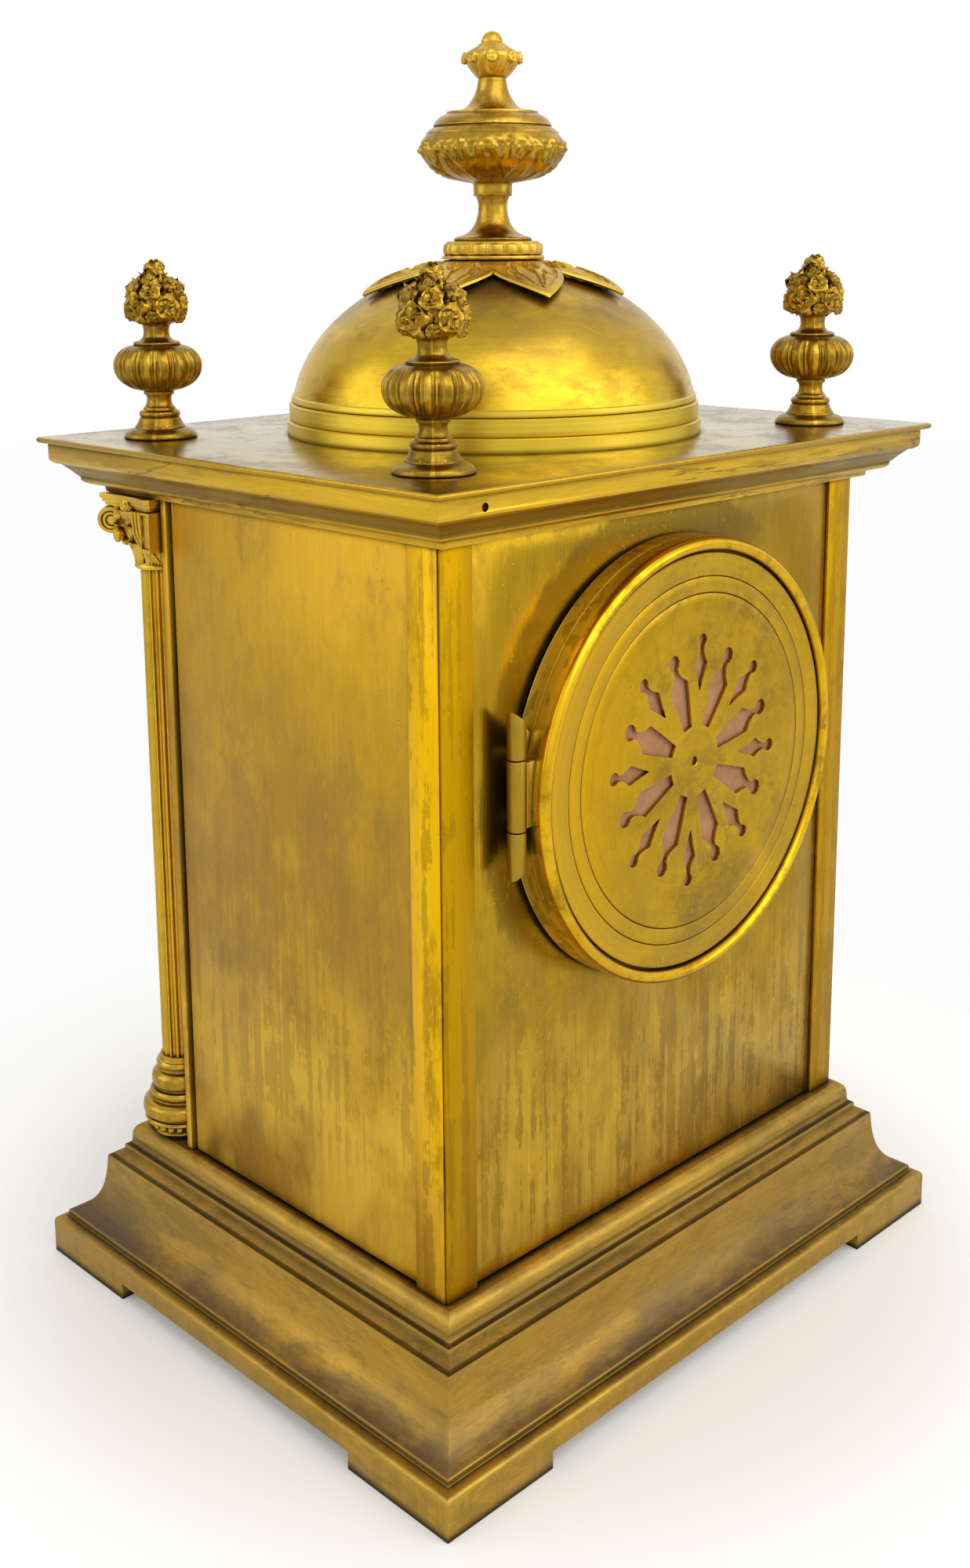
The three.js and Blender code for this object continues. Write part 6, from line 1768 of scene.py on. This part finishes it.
@dataclass
class RearDoor:
    """The fixed ring on the back, and the hinged rim with its pierced disc and cloth."""

    seat: float = 61.5
    rim_front: float = 66.8
    disc_face: float = 71.6
    disc_thick: float = 1.05
    disc_radius: float = 53.5
    hinge_x: float = 60.3
    hinge_y: float = 67.1
    knuckle: float = 2.3
    pin: float = 1.0
    joints: tuple[float, float, float, float] = (143.8, 156, 173.3, 185.3)
    long_ray: str = "9.3,1.5 15.5,2.7 21.4,3.6 23.2,2 25,0.95 26.4,0.95 26.9,1.6 28.2,2.1 29.6,1.7 30.4,0.6"
    short_ray: str = (
        "18.2,0.1 21.8,1.3 25.2,2.55 26.8,1.5 28.4,0.8 29.7,0.8 30.2,1.35 31.2,1.7 32.3,1.3 32.8,0.5"
    )
    rays: int = 8
    long_turn: float = 26.5
    short_turn: float = 4

    def build(self, shop: FinishShop) -> None:
        """Models the ring, the rim, the disc, the cloth and the hinge."""
        self._seat(shop)
        self._rim(shop)
        self._disc(shop)
        self._cloth(shop)
        self._pin(shop)

    def _seat(self, shop: FinishShop) -> None:
        """Models the fixed ring: a flange, a low drum and the outer knuckles."""
        y = self.seat
        ring = turned("door_seat", trace(
            "43,0 55.2,0! 55.2,0.9! 57.1,0.95 57.2,1.1! 57.25,5.1! 57.15,5.2! 53,5.2! 53,2.4! 43,2.4! "
            "43,0", 3, y
        ), 128, DOOR_CENTRE, Axis.BACK)
        low, mid, high, top = self.joints
        lower = self._knuckle("lower knuckle", low, mid - 0.15, 53, y + 2.6, y + 4.9, -1)
        upper = self._knuckle("upper knuckle", high + 0.15, top, 53, y + 2.6, y + 4.9, 1)
        shop.dress(merge(ring, lower, upper), Finish.RIM, "door_seat_ring", smooth=40)

    def _knuckle(
        self, name: str, low: float, high: float, root: float, near: float, far: float, sawn: int = 0
    ) -> Piece:
        """Models a rolled knuckle with its leaf, sawn at a slant at its free end.

        Args:
            name: the new object's name.
            low: its lower end.
            high: its upper end.
            root: where its leaf starts along X.
            near: the leaf's front face.
            far: the leaf's back face.
            sawn: -1 for a slant at the lower end, 1 for the upper end, 0 for none.

        Returns:
            The knuckle.
        """
        bore, steps = self.pin + 0.3, 20
        angles = [math.radians(200) - math.radians(318) * step / steps for step in range(steps + 1)]
        outline = [polar(self.knuckle, angle, self.hinge_x, self.hinge_y) for angle in angles]
        outline += [polar(bore, angle, self.hinge_x, self.hinge_y) for angle in reversed(angles)]
        leaf = ((root, near, low + 0.6), (self.hinge_x - bore, far, high - 0.6))
        body = merge(prism(name, outline, low, high), slab("leaf", *leaf))
        if sawn:
            end = low + 2.2 if sawn < 0 else high - 2.2
            with editing(body):
                bpy.ops.mesh.bisect(
                    plane_co=(self.hinge_x * MM, 0, end * MM), plane_no=(-0.85, 0, sawn), use_fill=True,
                    clear_outer=True,
                )
        soften(body, 0.18, 2, 35)
        return body

    def _rim(self, shop: FinishShop) -> None:
        """Models the rim with its rounded bead and the middle knuckle."""
        rim = turned("door_rim", trace(
            "50,0 57.15,0! 57.3,0.15 57.3,2.6 57.3,3.8 57.2,5.1 56.6,6 55.7,6.4 54.8,6.15 54.2,5.5 "
            "53.95,4.3! 53.9,3.55! 50,3.55! 50,0", 4, self.rim_front
        ), 160, DOOR_CENTRE, Axis.BACK)
        _, low, high, _ = self.joints
        near = self.rim_front + 0.15
        knuckle = self._knuckle("middle knuckle", low + 0.15, high - 0.15, 54, near, near + 2.15)
        shop.dress(merge(rim, knuckle), Finish.RIM, "rear_door_rim", body="rear_door", smooth=40)

    def _disc(self, shop: FinishShop) -> None:
        """Models the disc with its two engraved rings, slightly dished, and saws the rays out."""
        face, under = self.disc_face, self.disc_face - self.disc_thick
        groove, rim = 0.34, self.disc_radius
        line: list[Point] = [(1.1, under), (rim, under), (rim, face - 0.3), (rim - 0.3, face)]
        for radius in (47.4, 43.2):
            line += [(radius + 0.2, face), (radius, face - groove), (radius - 0.2, face)]
        dish = ((40, 0.02), (33, 0.05), (25, 0.1), (16, 0.16), (7, 0.2), (1.4, 0.22), (1.1, 0.4))
        line += [*((radius, face - sunk) for radius, sunk in dish), (1.1, under)]
        disc = turned("pierced_disc", line, 160, DOOR_CENTRE, Axis.BACK)
        cutters = []
        rays = (("long ray", self.long_ray, self.long_turn), ("short ray", self.short_ray, self.short_turn))
        for name, ray, turn in rays:
            outline = trace(ray)
            outline += [(along, -half) for along, half in reversed(outline)]
            blade = prism(name, outline, under - 2, face + 2, Axis.BACK)
            settle(blade, shifted(*DOOR_CENTRE) @ turned_by(-turn, "Y"))
            repeated(blade, self.rays, DOOR_CENTRE, Axis.BACK)
            cutters.append(blade)
        cut(disc, *cutters)
        soften(disc, 0.12, 1, 50)
        shop.dress(disc, Finish.DISC, "rear_door_disc", body="rear_door", smooth=30)

    def _cloth(self, shop: FinishShop) -> None:
        """Models the cloth behind the disc, slack between the rays where it shows."""
        clear_selection()
        bpy.ops.mesh.primitive_circle_add(vertices=72, radius=40 * MM, fill_type="NGON", enter_editmode=True)
        cloth = fresh("silk_backing")
        for _ in range(19):
            bpy.ops.mesh.select_mode(type="FACE")
            bpy.ops.mesh.inset(thickness=2 * MM)
        bpy.ops.mesh.poke()
        leave()
        level = self.disc_face - self.disc_thick - 0.32

        def lay(spot: Vector) -> Vector:
            """Stands the cloth up behind the disc with a soft sag."""
            radius = math.hypot(spot.x, spot.y)
            ripple = 0.1 * math.sin(spot.x * 0.5 + 1.3) * math.cos(spot.y * 0.42)
            ripple += 0.08 * math.sin(spot.y * 0.9)
            held = bump(radius / 42)
            return Vector((spot.x, level - 0.12 - 0.2 * held * (0.5 + ripple), DOOR_HEIGHT - spot.y))

        sculpt(cloth, lay)
        thicken(cloth, 0.25, 0)
        shop.dress(cloth, Finish.CLOTH, "rear_door_cloth", body="rear_door", smooth=60)

    def _pin(self, shop: FinishShop) -> None:
        """Models the hinge pin with its domed ends."""
        low, _, _, top = self.joints
        long = top - low - 5.2
        pin = turned("rear_hinge_pin", trace(
            f"0,0 0.6,0 0.95,0.3 1,0.7! 1,{long - 0.7}! 0.95,{long - 0.3} 0.6,{long} 0,{long}", 2, low + 2.6
        ), 20, (self.hinge_x, self.hinge_y, 0))
        shop.dress(pin, Finish.STEEL, "rear_door_hinge_pin")


@dataclass
class FrontDoor:
    """The seat ring, the moulded bezel and its glass."""

    plate: float = -43.4
    face: float = -45.8
    back: float = -46.1
    hinge_x: float = 60
    hinge_y: float = -46.1
    knuckle: float = 2.3
    pin: float = 1.0

    def build(self, shop: FinishShop) -> None:
        """Models the ring, the bezel, the glass and the hinge."""
        seat = turned("bezel_seat", trace(
            "45.6,0 56.2,0! 56.5,0.3 56.5,2.4! 47.2,2.4! 47.2,16.4! 45.6,16.4! 45.6,0", 2, self.face
        ), 128, DOOR_CENTRE, Axis.BACK)
        z = DOOR_HEIGHT
        knuckles = [
            self._knuckle("low knuckle", z - 15, z - 6.15, 52, self.face + 0.1, self.plate),
            self._knuckle("high knuckle", z + 6.15, z + 15, 52, self.face + 0.1, self.plate),
        ]
        shop.dress(merge(seat, *knuckles), Finish.RIM, "bezel_seat_ring", smooth=40)

        back = self.back
        bezel = turned("moulded_bezel", trace(
            "49.4,0 56.6,0! 57,-0.5 57,-2.2! 56.4,-2.6 56,-3.4! 56.1,-4.6 55.4,-6.2 53.6,-7 51.9,-6.3 "
            "51.3,-5.2! 50.6,-5.1 50.1,-4.6 49.6,-4.5 48.2,-3.8 47,-3.2 46.5,-3.05! 49.4,-2.8! 49.4,0",
            4, back,
        ), 160, DOOR_CENTRE, Axis.BACK)
        middle = self._knuckle("bezel knuckle", z - 5.85, z + 5.85, 53, back - 2.2, back - 0.15)
        shop.dress(merge(bezel, middle), Finish.RIM, "front_bezel", body="front_door", smooth=40)

        glass = turned("domed_glass", trace(
            "0,-51 24,-50.5 36,-49.75 45.5,-48.75 48.9,-48.6! 48.9,-47.1! 45.5,-47.2 36,-48.3 24,-49 "
            "0,-49.4", 4
        ), 96, DOOR_CENTRE, Axis.BACK)
        shop.dress(glass, Finish.GLASS, "bezel_glass", body="front_door", smooth=50)
        line = trace("0,-15 0.7,-14.9 1,-14.4! 1,14.4! 0.7,14.9 0,15", 2, z)
        pin = turned("front_hinge_pin", line, 20, (self.hinge_x, self.hinge_y, 0))
        shop.dress(pin, Finish.STEEL, "front_bezel_hinge_pin")

    def _knuckle(self, name: str, low: float, high: float, root: float, near: float, far: float) -> Piece:
        """Models a round knuckle with its leaf."""
        bore, long = self.pin + 0.3, high - low
        tube = turned(name, trace(
            f"{bore},0 2,0 2.3,0.3! 2.3,{long - 0.3}! 2,{long} {bore},{long}! {bore},0", 2, low
        ), 32, (self.hinge_x, self.hinge_y, 0))
        leaf = slab("leaf", (root, near, low), (self.hinge_x - bore, far, high))
        soften(leaf, 0.2)
        return merge(tube, leaf)


@dataclass
class DialAndHands:
    """The enamel dial with its numerals, and the two blued hands."""

    face: float = -44.5
    back: float = -43
    hour_length: float = 25
    minute_length: float = 38
    winding: tuple[float, float] = (20.6, -11.5)
    numerals: tuple[str, ...] = ("XII", "I", "II", "III", "IIII", "V", "VI", "VII", "VIII", "IX", "X", "XI")

    def build(self, shop: FinishShop) -> None:
        """Models the dial, its printing and the hands."""
        z = DOOR_HEIGHT
        dial = turned("enamel_dial", trace(
            "3.6,1.5 45.2,1.5! 45.2,0.7! 44.7,0.35 30,0.12 12,0! 4.2,0! 3.7,0.3 3.6,1.5", 4, self.face
        ), 128, DOOR_CENTRE, Axis.BACK)
        feet = []
        for step in range(3):
            x, rise = polar(38, math.pi / 2 + FULL_TURN * step / 3)
            post = [(0, self.back - 0.3), (1.2, self.back - 0.3), (1.2, -31.3), (0, -31.3)]
            feet.append(turned("dial foot", post, 12, (x, 0, z + rise), Axis.BACK))
        holes = []
        for x in (-self.winding[0], self.winding[0]):
            bore = [(0, -48), (4.1, -48), (4.1, -40), (0, -40)]
            holes.append(turned("winding hole", bore, 32, (x, 0, z + self.winding[1]), Axis.BACK))
        cut(dial, *holes)
        shop.dress(merge(dial, *feet), Finish.ENAMEL, "dial", smooth=40)
        self._grommets(shop)
        self._printing(shop)
        self._hand(shop, "hour", self.hour_length, -55, self.face - 1.2, 5.0)
        self._hand(shop, "minute", self.minute_length, 60, self.face - 2.4, 3.6)

    def _grommets(self, shop: FinishShop) -> None:
        """Models the brass rings round the winding holes and the centre."""
        (x, drop), rings = self.winding, []
        for place, side, radius in ((0, 0, 4.2), (x, drop, 4.1), (-x, drop, 4.1)):
            line = trace("-0.35,0.5 -0.35,-0.1 0,-0.22 0.5,-0.05 0.55,0.05! -0.1,0.5! -0.35,0.5", 2)
            line = [(radius + across, self.face + along) for across, along in line]
            rings.append(turned("grommet", line, 36, (place, 0, DOOR_HEIGHT + side), Axis.BACK))
        ring = merge(*rings)
        ring.name = "dial_grommets"
        shop.dress(ring, Finish.INNER, smooth=50)

    def _printing(self, shop: FinishShop) -> None:
        """Models the numerals, the two rings and the minute strokes, raised a hair off the enamel."""
        z, marks = DOOR_HEIGHT, []
        for index, numeral in enumerate(self.numerals):
            bpy.ops.object.select_all(action="DESELECT")
            bpy.ops.object.text_add()
            text = bpy.context.object
            text.data.body = numeral
            text.data.size = 9.2 * MM
            text.data.align_x = text.data.align_y = "CENTER"
            text.data.extrude = 0.03 * MM
            text.data.resolution_u = 3
            bpy.ops.object.convert(target="MESH")
            text = bpy.context.object
            angle = FULL_TURN * index / 12
            right = Vector((math.cos(angle), 0, -math.sin(angle)))
            up = Vector((math.sin(angle), 0, math.cos(angle)))
            spot = Vector((0, self.face + 0.13, z)) * MM + up * 33.4 * MM
            frame = Matrix((
                (right.x * 0.8, up.x, 0, spot.x), (0, 0, -1, spot.y), (right.z * 0.8, up.z, 0, spot.z),
                (0, 0, 0, 1),
            ))
            text.data.transform(frame)
            marks.append(text)
        level = self.face + 0.2
        for near, far in ((39.2, 39.2 + 0.22), (41.4, 41.4 + 0.22)):
            ring = [(near, level), (near, level + 0.2), (far, level + 0.2), (far, level), (near, level)]
            marks.append(turned("minute ring", ring, 128, (0, 0, z), Axis.BACK))
        for wide, count in ((0.3, 60), (0.9, 12)):
            stroke = slab("minute stroke", (-wide / 2, level, z + 39.3), (wide / 2, level + 0.2, z + 41.3))
            repeated(stroke, count, (0, 0, z), Axis.BACK)
            marks.append(stroke)
        printing = merge(*marks)
        printing.name = "dial_printing"
        shop.dress(printing, Finish.INK)

    def _hand(
        self, shop: FinishShop, which: str, length: float, degrees: float, front: float, hub: float
    ) -> None:
        """Models one hand: a hub, a slim blade, a pierced loop and a point."""
        half = trace("0,1.1 0.42,0.75 0.55,0.7 0.6,1.3 0.66,2.5 0.72,2.9 0.78,2.4 0.84,1.2 0.9,0.7 1,0.1")
        outline = [(across, along * length) for along, across in half]
        outline += [(-across, along) for across, along in reversed(outline)]
        blade = prism(f"{which}_blade", outline, front, front + 0.6, Axis.BACK)
        eye = turned("eye", [(0, -2), (1.3, -2), (1.3, 2), (0, 2)], 24, (0, front, length * 0.72), Axis.BACK)
        cut(blade, eye)
        boss = turned("boss", trace(
            f"1.5,0.6! 1.5,-0.2! {hub * 0.7},-0.15 {hub},0.1 {hub},0.6! 1.5,0.6", 3
        ), 40, (0, front, 0), Axis.BACK)
        hand = merge(blade, boss)
        soften(hand, 0.12, 1, 40)
        settle(hand, shifted(*DOOR_CENTRE) @ turned_by(degrees, "Y"))
        body = "hour_hand_body" if which == "hour" else "centre_arbor"
        shop.dress(hand, Finish.BLUED, body=body)


@dataclass
class Movement:
    """What the case holds: plates, bell, pendulum and the carried-over wheels."""

    axis_rise: float = 35
    plane: float = 12
    bob_drop: float = 119
    brass: tuple[str, ...] = (
        "movement_front_plate", "movement_strap_left", "movement_strap_right", "suspension_cock",
        "bell_stand", "centre_wheel", "minute_wheel", "going_barrel", "third_wheel", "escape_wheel",
        "strike_barrel", "pin_wheel", "fly", "rating_nut", "movement_back_plate",
    )
    steel: tuple[str, ...] = (
        "going_winding_arbor", "strike_winding_arbor", "pallet_arbor", "hammer", "dome_tie_bolt",
    )
    blued: tuple[str, ...] = ("hour_hand", "minute_hand")

    def build(self, shop: FinishShop, nodes: dict[str, Piece]) -> None:
        """Finishes the carried-over nodes and models the parts a hand would meet."""
        finishes = ((self.brass, Finish.INNER), (self.steel, Finish.STEEL), (self.blued, Finish.BLUED))
        for names, finish in finishes:
            for name in names:
                shop.dress_node(nodes[name], finish)
        self._bell(shop)
        self._pendulum(shop)

    def _bell(self, shop: FinishShop) -> None:
        """Models the bell with its flared lip, and its nut."""
        z = DOOR_HEIGHT - 3
        bell = turned("rolled_bell", trace(
            "2.2,41.9 8,41.6 17,39.6 25,35.6 31,30 34.2,24.6 35.2,21.6 35.8,20.1! 34.5,20.1! 33.4,23 31.6,27 "
            "28,31.8 22,36 14,39.2 6,40.3 2.2,40.4! 2.2,41.9", 4
        ), 96, (0, 0, z), Axis.BACK)
        shop.dress(bell, Finish.BELL, "bell", smooth=40)
        line = trace("2,42.3 3.6,42.3! 4,42.7 4,44.2 3.6,44.7! 2.6,44.9 2,44.9! 2,42.3", 2)
        nut = turned("knurled_nut", line, 48, (0, 0, z), Axis.BACK)
        with editing(nut, False):
            pick(nut, "VERT", lambda spot: math.hypot(spot.co.x, spot.co.z - z * MM) > 3.7 * MM and round(
                math.atan2(spot.co.z - z * MM, spot.co.x) / FULL_TURN * 48) % 2 == 0)
            bpy.ops.transform.resize(value=(0.94, 1, 0.94), center_override=(0, 0, z * MM))
        shop.dress(nut, Finish.INNER, "bell_nut", smooth=30)

    def _pendulum(self, shop: FinishShop) -> None:
        """Models the bob with its turned rings, and the rod with its spring."""
        z = DOOR_HEIGHT + self.axis_rise
        bob_z = z - self.bob_drop
        y = self.plane
        bob = turned("turned_bob", trace(
            "0,-3.5 4,-3.45! 4.4,-3.2 4.8,-3.4! 9,-2.9 12.6,-1.9 14.6,-0.7 15,0 14.6,0.7 12.6,1.9 9,2.9 "
            "4.8,3.4! 4.4,3.2 4,3.45! 0,3.5", 4, y
        ), 96, (0, 0, bob_z), Axis.BACK)
        bore = turned("bob bore", [(0, -20), (1.2, -20), (1.2, 20), (0, 20)], 16, (0, y, bob_z))
        cut(bob, bore)
        shop.dress(bob, Finish.INNER, "pendulum_bob", body="pendulum", smooth=35)
        low, high = bob_z - 22, z - 9
        rod = turned("pendulum_stem", [(0, low), (0.9, low), (0.9, high), (0, high)], 20, (0, y, 0))
        clamp = slab("spring clamp", (-2.2, y - 1.4, z - 13), (2.2, y + 1.4, z - 8))
        soften(clamp, 0.4)
        spring = slab("suspension spring", (-1.5, y - 0.12, z - 9), (1.5, y + 0.12, z + 1.7))
        soften(spring, 0.05, 1)
        shop.dress(merge(rod, clamp, spring), Finish.STEEL, "pendulum_rod", body="pendulum", smooth=40)


@dataclass
class Studio:
    """The photograph's viewpoint, the pale floor and soft light."""

    eye: Spot = (0.335165, 0.334974, 0.290860)
    azimuth: float = 135.306
    elevation: float = 11.430
    roll: float = -0.341
    lens: float = 39.95
    shift: float = -0.1245

    def build(self) -> None:
        """Sets the camera, the floor, the world and the lamps."""
        self._camera()
        self._floor()
        self._world()
        self._lamp("key lamp", (0.12, 0.8, 1.1), 1.1, 5.2)
        self._lamp("window lamp", (-0.55, 1.0, 0.6), 0.7, 2.0)
        self._lamp("side lamp", (1.0, -0.55, 0.6), 0.9, 2.6)
        scene = bpy.context.scene
        scene.view_settings.view_transform = "Standard"

    def _camera(self) -> None:
        """Puts the camera where the photograph was taken."""
        a, e, r = (math.radians(angle) for angle in (self.azimuth, self.elevation, self.roll))
        back = Vector((math.sin(a) * math.cos(e), -math.cos(a) * math.cos(e), math.sin(e)))
        right = (-back).cross(Vector((0, 0, 1))).normalized()
        up = right.cross(-back)
        tilted = right * math.cos(r) + up * math.sin(r)
        risen = up * math.cos(r) - right * math.sin(r)
        data = bpy.data.cameras.new("photograph")
        camera = bpy.data.objects.new("photograph", data)
        bpy.context.scene.collection.objects.link(camera)
        turn = Matrix((tilted, risen, back)).transposed().to_4x4()
        camera.matrix_world = Matrix.Translation(self.eye) @ turn
        data.sensor_width = 36
        data.lens = self.lens
        data.shift_y = self.shift
        data.clip_start, data.clip_end = 0.01, 50
        bpy.context.scene.camera = camera

    def _floor(self) -> None:
        """Lays a wide pale floor."""
        clear_selection()
        bpy.ops.mesh.primitive_plane_add(size=12)
        floor = fresh("studio_floor")
        material, board, shader = start_material("pale floor")
        board.feed(shader.inputs["Base Color"], (0.88, 0.88, 0.87, 1))
        board.feed(shader.inputs["Roughness"], 0.7)
        seen = board.add("ShaderNodeLightPath").outputs["Is Camera Ray"]
        place = board.add("ShaderNodeNewGeometry").outputs["Position"]
        away = board.add("ShaderNodeVectorMath", {0: place}, operation="LENGTH").outputs["Value"]
        raised_by = board.times(seen, board.spread(away, 0.11, 0.18, 0.13, 0.3))
        lift = board.add("ShaderNodeEmission", {"Strength": raised_by})
        far = board.add("ShaderNodeEmission", {"Strength": board.spread(away, 0.6, 3.0, 0.965, 1.0)})
        near = board.add("ShaderNodeAddShader", {0: shader.outputs[0], 1: lift.outputs[0]})
        distance = board.times(board.spread(away, 0.14, 0.28), seen)
        mix = board.add("ShaderNodeMixShader", {0: distance, 1: near.outputs[0], 2: far.outputs[0]})
        board.feed(board.tree.nodes["Material Output"].inputs["Surface"], mix.outputs[0])
        floor.data.materials.append(material)

    def _world(self) -> None:
        """Surrounds the clock with soft white, which metal and glass also see."""
        world = bpy.data.worlds.new("soft room")
        bpy.context.scene.world = world
        world.use_nodes = True
        board = Board(world.node_tree)
        path = board.add("ShaderNodeLightPath")
        seen = board.calc("MAXIMUM", path.outputs["Is Camera Ray"], path.outputs["Is Transmission Ray"])
        direction = board.add("ShaderNodeTexCoord").outputs["Generated"]
        across, along, height = board.split(direction)
        turned_off = board.times(board.less(across, along), math.sqrt(0.5))
        shaded = board.spread(turned_off, 0.3, 0.85, 1.0, 0.64)
        gloss = board.times(board.spread(height, 0.85, 1.0, 0.96, 0.5), shaded)
        strength = board.plus(0.62, board.times(path.outputs["Is Glossy Ray"], board.less(gloss, 0.62)))
        room = board.add("ShaderNodeBackground", {"Color": (1, 1, 1, 1), "Strength": strength})
        white = board.add("ShaderNodeBackground", {"Color": (1, 1, 1, 1), "Strength": 1.0})
        mix = board.add("ShaderNodeMixShader", {0: seen, 1: room.outputs[0], 2: white.outputs[0]})
        board.add("ShaderNodeOutputWorld", {"Surface": mix.outputs[0]})

    @staticmethod
    def _lamp(name: str, spot: Spot, size: float, power: float) -> None:
        """Hangs a soft square lamp that looks at the clock."""
        data = bpy.data.lights.new(name, "AREA")
        data.shape = "SQUARE"
        data.size = size
        data.energy = power
        lamp = bpy.data.objects.new(name, data)
        bpy.context.scene.collection.objects.link(lamp)
        lamp.location = spot
        lamp.rotation_mode = "QUATERNION"
        lamp.rotation_quaternion = (Vector((0, 0, 0.17)) - Vector(spot)).to_track_quat("-Z", "Y")


def main() -> None:
    """Builds the clock round its frame."""
    logging.basicConfig(level=logging.INFO, format="%(name)s: %(message)s")
    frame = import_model()
    Studio().build()
    shop = FinishShop()
    for part in (Plinth(), CaseWalls(), Cornice(), FrontColumn("left", -72.6), FrontColumn("right", 72.6)):
        part.build(shop)
    pattern = None
    for row, y in (("front", -53), ("rear", 53)):
        for side, x in (("left", -72), ("right", 72)):
            pattern = CornerFinial(f"{row}_{side}", x, y).build(shop, pattern)
    bpy.data.objects.remove(pattern)
    for part in (Dome(), TallFinial(), RearDoor(), FrontDoor(), DialAndHands()):
        part.build(shop)
    Movement().build(shop, frame["nodes"])
    clear_selection()


if __name__ == "__main__":
    main()
